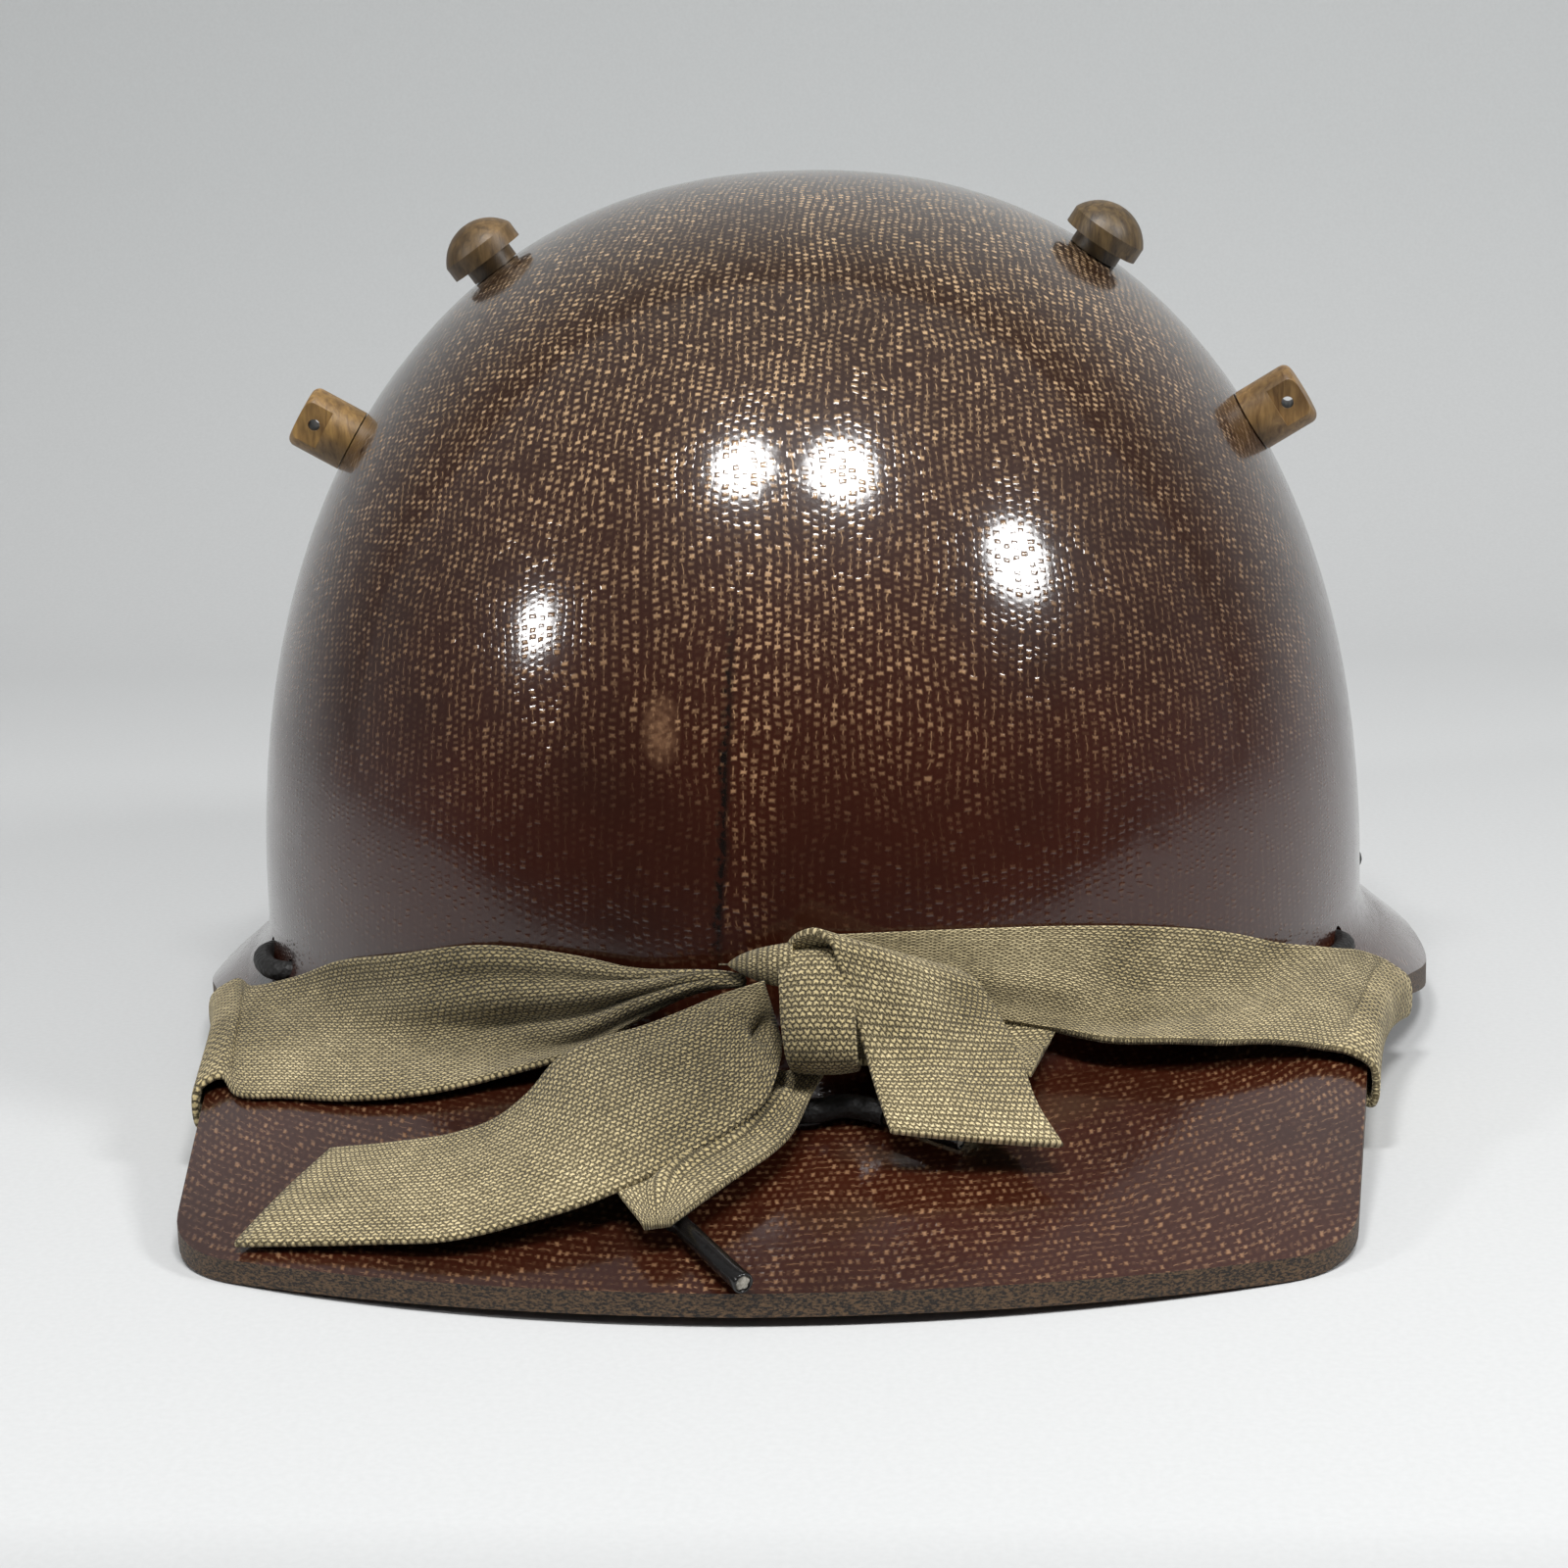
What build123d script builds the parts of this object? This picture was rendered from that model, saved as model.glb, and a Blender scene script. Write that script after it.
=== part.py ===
from build123d import *
from math import acos, asin, atan2, cos, degrees, hypot, pi, radians, sin, tan
import os

# Miner's helmet: a moulded canvas-laminate shell with four wooden vent plugs, a laced-in cradle
# of cotton tapes with a leather sweatband, and an elastic chin strap tied in front over the visor.
# Millimetres, +Z up, the visor faces -Y, and z = 0 is the surface that the brim stands on.
# An azimuth is in degrees round the bowl, 0 at the front and positive towards +X.

# Shell: one laminate, 3.4 mm thick, an oval bowl with a cove that turns out into the brim
shell_wall = 3.4
bowl_half_width = 104.0
bowl_half_length = 120.0
crown_height = 158.35
crown_power = 2.24
foot_height = 28.35
ear_drop = 3.9
ear_front_share = -0.75
ear_full_share = -0.0833
cove_radius = 10.0
edge_chamfer = 1.1

# Brim: how steeply it falls at the visor, the ears and the nape, in degrees, and at which shares
# of the bowl's half length that changes
visor_slope = 16.6
ear_slope = 39.2
nape_slope = 33.0
visor_slope_end_share = -0.6667
ear_slope_start_share = -0.1667
ear_slope_end_share = 0.3333
nape_slope_start_share = 0.9333

# Trimmed outline of the brim in plan, by how far it stands out past the bowl or in from it
visor_run = 53.5
visor_reach = bowl_half_length + visor_run
visor_bow = 22.3
visor_corner = 20.0
visor_inset = 16.1
visor_half_width = bowl_half_width - visor_inset
waist_inset = 6.3
waist_half_width = bowl_half_width - waist_inset
waist_share = 0.6725
waist_depth = waist_share * bowl_half_length
ear_run = 12.7
ear_half_width = bowl_half_width + ear_run
nape_run = 23.4
nape_reach = bowl_half_length + nape_run
blank_visor = 72.0
blank_side = 36.0

# Vent plugs, turned wood: mushrooms near the crown and barrels lower down
vent_bore = 8.2
plug_clearance = 0.07
plug_tail = 3.0
plug_seat = 0.05
plug_row_share = -0.125
upper_vent_share = 0.52404
lower_vent_share = 0.79808
mushroom_width = 14.4
mushroom_band = 2.9
mushroom_dome = 4.3
mushroom_neck = 9.4
mushroom_gap = 2.5
barrel_width = 11.8
barrel_length = 10.6
barrel_round = 1.5
barrel_flat = 4.6
barrel_bore = 2.2
barrel_bore_inset = 3.2

# Headband of cotton webbing with a leather sweatband sewn inside it
head_room_side = 25.0
head_room_ends = 20.0
head_half_width = bowl_half_width - head_room_side
head_half_length = bowl_half_length - head_room_ends
leather = 1.6
leather_low = 11.0
leather_high = 46.0
webbing = 1.8
webbing_low = 17.0
webbing_high = 45.0
sewn_gap = 0.2

# Lace run: a black bootlace that goes in and out of the foot of the bowl and carries the cradle.
# The side stitches and the front tapes have angles in plan, the holes and exits azimuths.
lace = 3.7
lace_hole = 4.6
lace_drop = 5.95
lace_level = foot_height - lace_drop
lace_gap = 0.35
lace_turn = 2.6
lace_bend = 9.0
loop_to_wall = 1.8
stitch_half = 4.3
side_stitches = (59.0, 100.4, 141.1)
exit_left = -13.0
exit_right = -4.0
front_hang = 31.8

# Cradle: cotton tapes looped on the lace run, sewn to the headband and gathered on a crown cord
tape_width = 16.0
tape = 1.2
tape_sewn_low = 35.0
crown_room = 40.35
cradle_height = crown_height - crown_room
crown_ring = 30.0
crown_cord = 3.0
loop_gap = 0.3

# Elastic chin strap, tied in front over the root of the visor
elastic = 1.3
strap_gap = 0.35
knot_width = 16.0
knot_height = 24.0
knot_depth = 12.0
knot_lean = 33.0
knot_across = 4.5
knot_stand = 11.6
knot_forward = bowl_half_length + knot_stand
knot_rise = 4.65
knot_level = foot_height + knot_rise
knot_gap = 0.3

# Edges of the strap's pieces on the outer skin: azimuth, share of the visor's run along the skin
# (below 0 up the wall), and share of the knot's depth that the strap stands off the skin.
band_left_upper_shares = (
    (-1.0, -0.20, 0.20), (-7.5, -0.21, 0.04), (-14.0, -0.21, 0.0), (-25.0, -0.20, 0.0),
    (-37.0, -0.11, 0.0), (-46.0, -0.03, 0.0), (-54.0, 0.09, 0.02), (-60.0, 0.215, 0.06))
band_left_lower_shares = (
    (-0.5, -0.05, 0.33), (-7.0, 0.01, 0.28), (-13.0, 0.07, 0.28), (-20.0, 0.23, 0.18),
    (-26.0, 0.39, 0.08), (-32.0, 0.49, 0.03), (-37.5, 0.55, 0.0), (-41.5, 0.61, 0.0))
band_right_upper_shares = (
    (5.2, -0.28, 0.12), (18.5, -0.26, 0.0), (27.5, -0.23, 0.0), (36.0, -0.18, 0.0),
    (45.0, -0.10, 0.0), (52.0, -0.02, 0.1), (57.0, 0.05, 0.36), (61.5, 0.13, 0.34), (65.5, 0.19, 0.20))
band_right_lower_shares = (
    (5.2, -0.11, 0.20), (17.0, -0.02, 0.20), (23.5, 0.08, 0.24), (28.0, 0.25, 0.36),
    (32.5, 0.33, 0.40), (36.0, 0.37, 0.34), (39.5, 0.40, 0.28), (42.3, 0.43, 0.20), (44.6, 0.465, 0.12))
tail_left_upper_shares = (
    (-0.5, -0.15, 0.71), (-5.0, -0.02, 0.67), (-8.5, 0.19, 0.58), (-10.5, 0.37, 0.46),
    (-14.5, 0.52, 0.33), (-19.0, 0.62, 0.20), (-24.0, 0.69, 0.10), (-28.5, 0.757, 0.04))
tail_left_lower_shares = (
    (1.5, 0.27, 0.92), (0.5, 0.42, 0.83), (-1.0, 0.54, 0.73), (-4.0, 0.67, 0.61),
    (-7.0, 0.81, 0.52), (-10.5, 0.96, 0.33), (-16.0, 1.05, 0.15), (-27.5, 1.18, 0.02))
tail_right_left_shares = (
    (5.6, -0.30, 0.42), (6.2, -0.22, 0.85), (7.2, -0.04, 0.95), (7.4, 0.17, 0.95),
    (7.6, 0.32, 0.90), (8.0, 0.46, 0.71), (8.5, 0.59, 0.50))
tail_right_right_shares = (
    (11.0, -0.29, 0.36), (15.0, -0.215, 0.50), (20.0, -0.10, 0.64), (21.5, 0.09, 0.67),
    (20.5, 0.355, 0.64), (19.5, 0.56, 0.47), (18.5, 0.74, 0.36))
loop_low_left_shares = (
    (-0.2, 0.29, 0.45), (-1.0, 0.374, 0.43), (-4.5, 0.54, 0.37), (-7.5, 0.73, 0.345), (-4.8, 0.90, 0.335))
loop_low_right_shares = (
    (4.8, 0.29, 0.45), (4.0, 0.364, 0.43), (2.0, 0.57, 0.385), (-1.5, 0.75, 0.355), (-3.5, 0.88, 0.335))
fold_right_upper_shares = ((4.5, -0.04, 0.45), (12.0, 0.0, 0.42), (18.0, 0.04, 0.42), (24.0, 0.065, 0.42))
fold_right_lower_shares = ((4.5, 0.20, 0.45), (11.0, 0.26, 0.42), (16.0, 0.32, 0.42), (21.0, 0.355, 0.42))
knot_level_shares = (-0.5, -0.38, -0.12, 0.14, 0.36, 0.5)
knot_width_shares = (0.66, 0.92, 1.0, 0.96, 0.88, 0.6)
knot_depth_shares = (0.45, 0.88, 1.0, 1.0, 0.84, 0.45)

# Where the strap's ends turn under the rim and are sewn to the headband
rim_left = (-64.5, -44.5)
rim_right = (68.5, 46.5)
anchor_back = 90.0
anchor_front = 78.0
anchor_low = 21.0
anchor_high = 32.0
anchor_gap = 0.8
strap_dip = 3.0
strap_steps = 2
tail_steps = 3

# Free ends of the lace, which come out under the knot and lie on the visor, and their bound tips
aglet = 3.2
aglet_length = 18.5
aglet_short = 13.0
lace_end_gap = 0.45
exit_run = 4.4

# Their routes on the skin: azimuth, share of the visor's run, share of the lace's width off the skin
lace_end_left_shares = ((-12.0, 0.375, 0.12), (-9.6, 0.54, 0.0))
lace_end_right_shares = ((-1.6, 0.36, 0.12), (3.4, 0.385, 0.03))
aglet_left_shares = ((-3.9, 0.885, 0.0), (0.4, 1.17, 0.0))
aglet_right_shares = ((9.6, 0.415, 0.0), (14.0, 0.62, 0.0))

FULL_TURN = 360
RING_POINTS = 36
FOLDS = 8
CORD_SIDES = 6


def ease(value, start, end):
    """0 before start, 1 after end, and a smooth step between them."""
    t = min(max((value - start) / (end - start), 0), 1)
    return t * t * (3 - 2 * t)


def oval(azimuth):
    """Point of the bowl's foot in plan, and the outward normal there."""
    turn = radians(azimuth) - pi / 2
    x, y = bowl_half_width * cos(turn), bowl_half_length * sin(turn)
    nx, ny = bowl_half_length * cos(turn), bowl_half_width * sin(turn)
    size = hypot(nx, ny)
    return x, y, nx / size, ny / size


def foot_level(azimuth):
    """Height where the wall ends and the cove begins: it dips at the ears and nape."""
    forward = oval(azimuth)[1] / bowl_half_length
    return foot_height - ear_drop * ease(forward, ear_front_share, ear_full_share)


def brim_slope(azimuth):
    forward = oval(azimuth)[1] / bowl_half_length
    to_ear = (ear_slope - visor_slope) * ease(forward, visor_slope_end_share, ear_slope_start_share)
    to_nape = (nape_slope - ear_slope) * ease(forward, ear_slope_end_share, nape_slope_start_share)
    return radians(visor_slope + to_ear + to_nape)


def dome_point(azimuth, lift, depth=0):
    """Point of the bowl: lift is 0 at the foot and 90 degrees at the crown, depth is inwards."""
    x, y, nx, ny = oval(azimuth)
    around, up = cos(radians(lift)) ** (2 / crown_power), sin(radians(lift)) ** (2 / crown_power)
    top = crown_height - depth
    level = top - (top - foot_level(azimuth)) * (1 - up)
    return Vector((x - depth * nx) * around, (y - depth * ny) * around, level)


def brim_point(azimuth, turn_share, reach, depth=0):
    """Point of the cove, by its share of the turn, or of the brim, by its reach past the cove."""
    x, y, nx, ny = oval(azimuth)
    fall = brim_slope(azimuth)
    radius = cove_radius + depth
    turn = turn_share * (pi / 2 - fall)
    out = cove_radius - radius * cos(turn) + reach * cos(fall)
    down = radius * sin(turn) + reach * sin(fall)
    return Vector(x + nx * out, y + ny * out, foot_level(azimuth) - down)


def skin_point(azimuth, along, off=0):
    """Point at a height off the outer skin: along is up the wall below 0, out on the brim above."""
    x, y, nx, ny = oval(azimuth)
    if along < 0:
        rise = crown_height - foot_level(azimuth)
        around = (1 - (-along / rise) ** crown_power) ** (1 / crown_power)
        return Vector(x * around + nx * off, y * around + ny * off, foot_level(azimuth) - along)
    quarter = pi / 2 - brim_slope(azimuth)
    turn_share = min(along / cove_radius / quarter, 1)
    reach = max(along - cove_radius * quarter, 0)
    return brim_point(azimuth, turn_share, reach, -off)


def ring(point_at):
    """Closed smooth wire through one point for each step of azimuth."""
    points = [point_at(FULL_TURN * i / RING_POINTS) for i in range(RING_POINTS)]
    return Wire([Spline(points, periodic=True).edge()])


# Shell

def skin(depth):
    """Faces of one skin of the laminate, from the crown to past the trimmed edge."""
    lifts = (0, 8, 18, 30, 42, 54, 66, 78)
    bowl_rings = [ring(lambda az: dome_point(az, lift, depth)) for lift in lifts]
    bowl = Shell.make_loft(bowl_rings + [Vertex(0, 0, crown_height - depth)])
    quarters = 4
    cove = Shell.make_loft([ring(lambda az: brim_point(az, i / quarters, 0, depth)) for i in range(quarters + 1)])
    brim = Shell.make_loft([ring(lambda az: brim_point(az, 1, 0, depth)), blank_edge(depth)], ruled=True)
    return [*bowl.faces(), *cove.faces(), *brim.faces()]


def blank_edge(depth):
    """Edge of the untrimmed blank, further out at the visor."""
    visor_share = lambda azimuth: ease(cos(radians(azimuth)), 0, 1)
    reach = lambda azimuth: blank_side + (blank_visor - blank_side) * visor_share(azimuth)
    return ring(lambda azimuth: brim_point(azimuth, 1, reach(azimuth), depth))


def trim_outline():
    """Face of the brim's outline in plan: bowed visor, round corners, waist, ears and nape."""
    corner_y = visor_bow - visor_reach
    with BuildSketch() as outline:
        with BuildLine():
            front = ThreePointArc((0, -visor_reach), (visor_half_width / 2, -visor_reach + visor_bow / 4),
                                  (visor_half_width, corner_y))
            side = Line(front @ 1, (waist_half_width, -waist_depth))
            hip = Spline(side @ 1, (ear_half_width, 0), tangents=[side % 1, (0, 1)])
            EllipticalCenterArc((0, 0), ear_half_width, nape_reach, arc_size=FULL_TURN / 4)
            mirror(about=Plane.YZ)
        make_face()
        fillet(outline.vertices().filter_by_position(Axis.Y, corner_y - edge_chamfer, corner_y + edge_chamfer),
               visor_corner)
    return outline.sketch


def vent_plane(across_share):
    """Plane on the outer skin at a vent: +Z is the outward normal and +X points to the visor."""
    azimuth = degrees(atan2(across_share, -plug_row_share))
    lift = degrees(acos(hypot(across_share, plug_row_share) ** (crown_power / 2)))
    step = 0.01
    around = dome_point(azimuth + step, lift) - dome_point(azimuth - step, lift)
    up = dome_point(azimuth, lift + step) - dome_point(azimuth, lift - step)
    normal = around.cross(up).normalized()
    front = Vector(0, -1, 0)
    return Plane(dome_point(azimuth, lift), x_dir=front - normal * front.dot(normal), z_dir=normal)


def vent_planes():
    """Where each vent plug sits, by the plug's name."""
    return {
        "plug_upper_left": vent_plane(-upper_vent_share),
        "plug_upper_right": vent_plane(upper_vent_share),
        "plug_lower_left": vent_plane(-lower_vent_share),
        "plug_lower_right": vent_plane(lower_vent_share),
    }


def lace_offset(azimuth, side):
    """Outward distance of the lace's centre from the bowl's oval: side is 1 outside and -1 inside."""
    down = foot_level(azimuth) - lace_level
    stand = lace_gap if side > 0 else loop_gap + tape + loop_to_wall
    radius = cove_radius + (0 if side > 0 else shell_wall) - side * (stand + lace / 2)
    return cove_radius - radius * cos(asin(down / radius))


def lace_point(azimuth, side):
    x, y, nx, ny = oval(azimuth)
    out = lace_offset(azimuth, side)
    return Vector(x + nx * out, y + ny * out, lace_level)


def azimuth_at(angle):
    """Azimuth of the oval's point that the axis sees at an angle in plan, from the front."""
    turn = radians(angle)
    azimuth = degrees(atan2(sin(turn) / bowl_half_width, cos(turn) / bowl_half_length))
    return azimuth + FULL_TURN * round((angle - azimuth) / FULL_TURN)


def stitch_angles():
    """Middles of the outside stitches, clockwise in plan from the left front, round the nape."""
    return [*(-angle for angle in side_stitches), -FULL_TURN / 2, *(angle - FULL_TURN for angle in side_stitches[::-1])]


def lace_holes():
    """Azimuths of the holes: left exit, a pair for each stitch round the nape, and right exit."""
    middles = [azimuth_at(angle) for angle in stitch_angles()]
    pairs = [hole for middle in middles for hole in (middle + stitch_half, middle - stitch_half)]
    return [exit_left, *pairs, exit_right - FULL_TURN]


def hanging_azimuths():
    """Where the tapes of the cradle hang: one on each inside run of the lace."""
    middles = stitch_angles()
    between = [(start + end) / 2 for start, end in zip(middles, middles[1:])]
    return [azimuth_at(angle) for angle in (-front_hang, *between, front_hang - FULL_TURN)]


def build_shell():
    """Laminate shell: two skins and a blank edge sewn to a solid, then trimmed and drilled."""
    edge = Shell.make_loft([blank_edge(0), blank_edge(shell_wall)], ruled=True)
    blank = Solid(Shell([*skin(0), *skin(shell_wall), *edge.faces()]))
    trim = extrude(trim_outline(), amount=crown_height + blank_visor, both=True)
    bores = [plane * Cylinder(vent_bore / 2, 4 * shell_wall) for plane in vent_planes().values()]
    for azimuth in lace_holes():
        x, y, nx, ny = oval(azimuth)
        radial = Plane((x, y, lace_level), z_dir=(nx, ny, 0))
        bores.append(radial * Cylinder(lace_hole / 2, 4 * shell_wall))
    return (blank & trim) - bores


# Vent plugs

def plug_stem(head_start):
    """Shank through the bore and a little beyond it, up to where the head starts."""
    bottom = -shell_wall - plug_tail
    stem = Cylinder(vent_bore / 2 - plug_clearance, head_start - bottom,
                    align=(Align.CENTER, Align.CENTER, Align.MIN))
    stem = chamfer(stem.edges().group_by(Axis.Z)[0], plug_tail / 4)
    return Pos(0, 0, bottom) * stem


def build_mushroom(plane):
    """Plug with a neck that sits on the bowl and a banded, domed head above it."""
    shank, neck, half = vent_bore / 2 - plug_clearance, mushroom_neck / 2, mushroom_width / 2
    bottom, bevel = -shell_wall - plug_tail, plug_tail / 4
    band_low, band_high = mushroom_gap, mushroom_gap + mushroom_band
    top = band_high + mushroom_dome
    cap_radius = (half ** 2 + mushroom_dome ** 2) / (2 * mushroom_dome)
    with BuildPart() as plug:
        with BuildSketch(Plane.XZ):
            with BuildLine():
                Polyline((0, top), (0, bottom), (shank - bevel, bottom), (shank, bottom + bevel), (shank, plug_seat),
                         (neck, plug_seat), (neck, band_low), (half, band_low), (half, band_high))
                RadiusArc((half, band_high), (0, top), -cap_radius)
            make_face()
        revolve(axis=Axis.Z)
    return plane * plug.part


def build_barrel(plane):
    """Plug with a straight head, its end rounded, whittled flat on one side and cross-drilled."""
    radius = barrel_width / 2
    head = Pos(0, 0, plug_seat) * Cylinder(radius, barrel_length, align=(Align.CENTER, Align.CENTER, Align.MIN))
    head = fillet(head.edges().group_by(Axis.Z)[-1], barrel_round)
    flat = Box(radius, barrel_width, barrel_length, align=(Align.MIN, Align.CENTER, Align.MIN))
    head -= Pos(barrel_flat, 0, barrel_length / 2) * flat
    bore_level = plug_seat + barrel_length - barrel_bore_inset
    head -= Pos(0, 0, bore_level) * Rot(0, 90, 0) * Cylinder(barrel_bore / 2, 2 * barrel_width)
    return plane * (head + plug_stem(plug_seat + barrel_length / 4))


# Headband

def oval_band(half_width, half_length, thickness, low, high):
    """Upright oval ring of strip material."""
    ring_face = Ellipse(half_width + thickness, half_length + thickness) - Ellipse(half_width, half_length)
    return Pos(0, 0, low) * extrude(ring_face, amount=high - low)


def build_sweatband():
    return oval_band(head_half_width, head_half_length, leather, leather_low, leather_high)


def build_headband():
    inset = leather + sewn_gap
    return oval_band(head_half_width + inset, head_half_length + inset, webbing, webbing_low, webbing_high)


def headband_reach(angle, half_strip):
    """How far out of the axis the headband stands behind a flat strip that faces a plan angle."""
    grow = leather + sewn_gap + webbing
    wide, long = head_half_width + grow, head_half_length + grow
    along = (cos(angle) / wide) ** 2 + (sin(angle) / long) ** 2
    across = (sin(angle) / wide) ** 2 + (cos(angle) / long) ** 2
    mixed = sin(angle) * cos(angle) * (1 / long ** 2 - 1 / wide ** 2)
    reaches = []
    for edge in (-half_strip, 0, half_strip):
        root = (mixed * edge) ** 2 - along * (across * edge ** 2 - 1)
        reaches.append((root ** 0.5 - mixed * edge) / along)
    return max(reaches)


# Cradle

def build_tape(azimuth):
    """Tape looped on the lace, sewn to the headband and arched up to its loop on the crown cord."""
    hang = lace_point(azimuth, -1)
    angle = atan2(hang.Y, hang.X)
    plane = Plane((0, 0, 0), x_dir=(cos(angle), sin(angle), 0), z_dir=(sin(angle), -cos(angle), 0))
    reach = hypot(hang.X, hang.Y)
    stand = headband_reach(angle, tape_width / 2) + tape / 2 + loop_gap
    crown_turn = degrees(acos(crown_ring / stand))
    rise = (cradle_height - webbing_high) / sin(radians(crown_turn))
    lace_loop = lace / 2 + loop_gap
    cord_loop = crown_cord / 2 + loop_gap
    with BuildPart() as tape_part:
        with BuildSketch(plane) as profile:
            with BuildLine() as path:
                Polyline((reach, lace_level + lace_loop + tape / 2), (stand, tape_sewn_low), (stand, webbing_high))
                EllipticalCenterArc((0, webbing_high), stand, rise, arc_size=crown_turn)
            end = path.line @ 1
            trace(path.line, line_width=tape)
            loops = (((reach, lace_level), lace_loop), ((end.X, end.Y - cord_loop - tape / 2), cord_loop))
            for place, inside in loops:
                with Locations(place):
                    RegularPolygon(inside + tape, FOLDS, major_radius=False)
            for place, inside in loops:
                with Locations(place):
                    RegularPolygon(inside, FOLDS, major_radius=False, mode=Mode.SUBTRACT)
        extrude(amount=tape_width / 2, both=True)
    return tape_part.part


def build_crown_cord():
    """Cord through the tapes' top loops: a ring, in two halves, with a straight run through each loop."""
    level = cradle_height - tape / 2 - loop_gap - crown_cord / 2
    corners = []
    for azimuth in hanging_azimuths():
        hang = lace_point(azimuth, -1)
        angle = atan2(hang.Y, hang.X)
        middle = Vector(crown_ring * cos(angle), crown_ring * sin(angle), level)
        along = Vector(-sin(angle), cos(angle), 0)
        corners += [middle + along * (tape_width / 2), middle - along * (tape_width / 2)]
    front, back = (corners[0] + corners[-1]) / 2, (corners[FOLDS - 1] + corners[FOLDS]) / 2
    turns = [crown_cord / 2] * FOLDS
    left = tube([front, *corners[:FOLDS], back], turns, crown_cord)
    right = tube([back, *corners[FOLDS:], front], turns, crown_cord)
    return left + right


# Lace

def lace_run_points():
    """Corners of the laced-in run and how tightly each is turned."""
    points, turns = [lace_point(exit_left, 1)], []
    holes = lace_holes()
    for i, hang_azimuth in enumerate(hanging_azimuths()):
        entry, leave = holes[2 * i], holes[2 * i + 1]
        hang = lace_point(hang_azimuth, -1)
        angle = atan2(hang.Y, hang.X)
        along = Vector(-sin(angle), cos(angle), 0) * (tape_width / 2 + lace)
        points += [lace_point(entry, -1), hang + along, hang - along, lace_point(leave, -1)]
        turns += [lace_turn, lace_bend, lace_bend, lace_turn]
        points.append(lace_point(leave, 1))
        if i + 1 < len(hanging_azimuths()):
            points.append(lace_point(holes[2 * i + 2], 1))
            turns += [lace_turn, lace_turn]
    return points, turns


def tube(points, turns, width):
    """Round cord through straight runs joined by arcs."""
    with BuildPart() as cord:
        with BuildLine() as path:
            FilletPolyline(*points, radius=turns)
        with BuildSketch(Plane(points[0], z_dir=path.line % 0)):
            RegularPolygon(width / 2, CORD_SIDES)
        sweep()
    return cord.part


def build_lace_run():
    return tube(*lace_run_points(), lace)


# Chin strap

def rim_level(azimuth):
    """Length along the skin, from the foot of the bowl to the trimmed edge."""
    outline = trim_outline().face()
    near, far = 0, blank_visor
    while far - near > plug_seat / 4:
        middle = (near + far) / 2
        point = skin_point(azimuth, middle)
        if outline.is_inside(Vector(point.X, point.Y, 0)):
            near = middle
        else:
            far = middle
    return near


def strap_points(shares):
    """Points of one edge of a piece of strap, its middle thickness clear of the skin."""
    stand = elastic / 2 + strap_gap
    return [skin_point(azimuth, along * visor_run, stand + lift * knot_depth) for azimuth, along, lift in shares]


def rim_turn(azimuth):
    """Points of one edge of the strap as it turns round the rim and in under the brim."""
    along = rim_level(azimuth)
    fall = brim_slope(azimuth)
    stand = elastic / 2 + 2 * strap_gap
    x, y, nx, ny = oval(azimuth)
    out, up = Vector(nx, ny, 0), Vector(0, 0, 1)
    top = skin_point(azimuth, along)
    thick = shell_wall / cos(fall)
    inward = 2 * shell_wall
    return [
        skin_point(azimuth, along - shell_wall, 1.5 * stand),
        top + (out + up) * (0.9 * stand),
        top - up * (thick / 2) + out * (1.3 * stand),
        top - up * (thick + 0.9 * stand) + out * (0.9 * stand),
        skin_point(azimuth, along + shell_wall * tan(fall) - shell_wall, -shell_wall - 1.1 * stand),
        skin_point(azimuth, along + shell_wall * tan(fall) - inward, -shell_wall - stand - strap_dip),
    ]


def anchor_points(azimuth, side, before):
    """One edge of the strap from under the brim to the headband, where it is sewn."""
    grow = leather + sewn_gap + webbing + anchor_gap + elastic / 2
    turn = radians(azimuth) - pi / 2
    x, y = (head_half_width + grow) * cos(turn) * side, (head_half_length + grow) * sin(turn)
    low, high = Vector(x, y, anchor_low), Vector(x, y, anchor_high)
    dip = Vector(side, 0, -1) * strap_dip
    return [(before + low) / 2 + dip, low, high]


def smooth_edge(points, steps):
    """Points on a smooth curve through the given ones, with so many steps to each interval."""
    runs = [(b - a).length for a, b in zip(points, points[1:])]
    slopes = [(b - a) * (1 / run) for a, b, run in zip(points, points[1:], runs)]
    tangents = [slopes[0]]
    for i in range(1, len(runs)):
        tangents.append((slopes[i - 1] * runs[i] + slopes[i] * runs[i - 1]) * (1 / (runs[i - 1] + runs[i])))
    tangents.append(slopes[-1])
    edge = []
    for i, run in enumerate(runs):
        for step in range(steps):
            t = step / steps
            eased = ease(t, 0, 1)
            start_pull, end_pull = t * (1 - t) ** 2 * run, t * t * (t - 1) * run
            between = points[i] * (1 - eased) + points[i + 1] * eased
            edge.append(between + tangents[i] * start_pull + tangents[i + 1] * end_pull)
    return edge + [points[-1]]


def ribbon(rows_of_points, steps, thickness=elastic):
    """Strip of webbing along its two edges and its middle: a loft of thin, bent, flat sections."""
    upper, middle, lower = [smooth_edge(points, steps) for points in rows_of_points]
    last = len(middle) - 1
    sections = []
    for i, (a, m, b) in enumerate(zip(upper, middle, lower)):
        ahead = middle[min(i + 1, last)] - middle[max(i - 1, 0)]
        half = ahead.cross(b - a).normalized() * (thickness / 2)
        square = (b - a).cross(half).normalized()
        m = m - square * (m - a).dot(square)
        sections.append(Wire.make_polygon([a - half, m - half, b - half, b + half, m + half, a + half]))
    return Solid.make_loft(sections, ruled=True)


def mean_shares(upper_shares, lower_shares):
    """Places half way between the two edges of a piece of strap."""
    return [tuple((a + b) / 2 for a, b in zip(*pair)) for pair in zip(upper_shares, lower_shares)]


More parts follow.
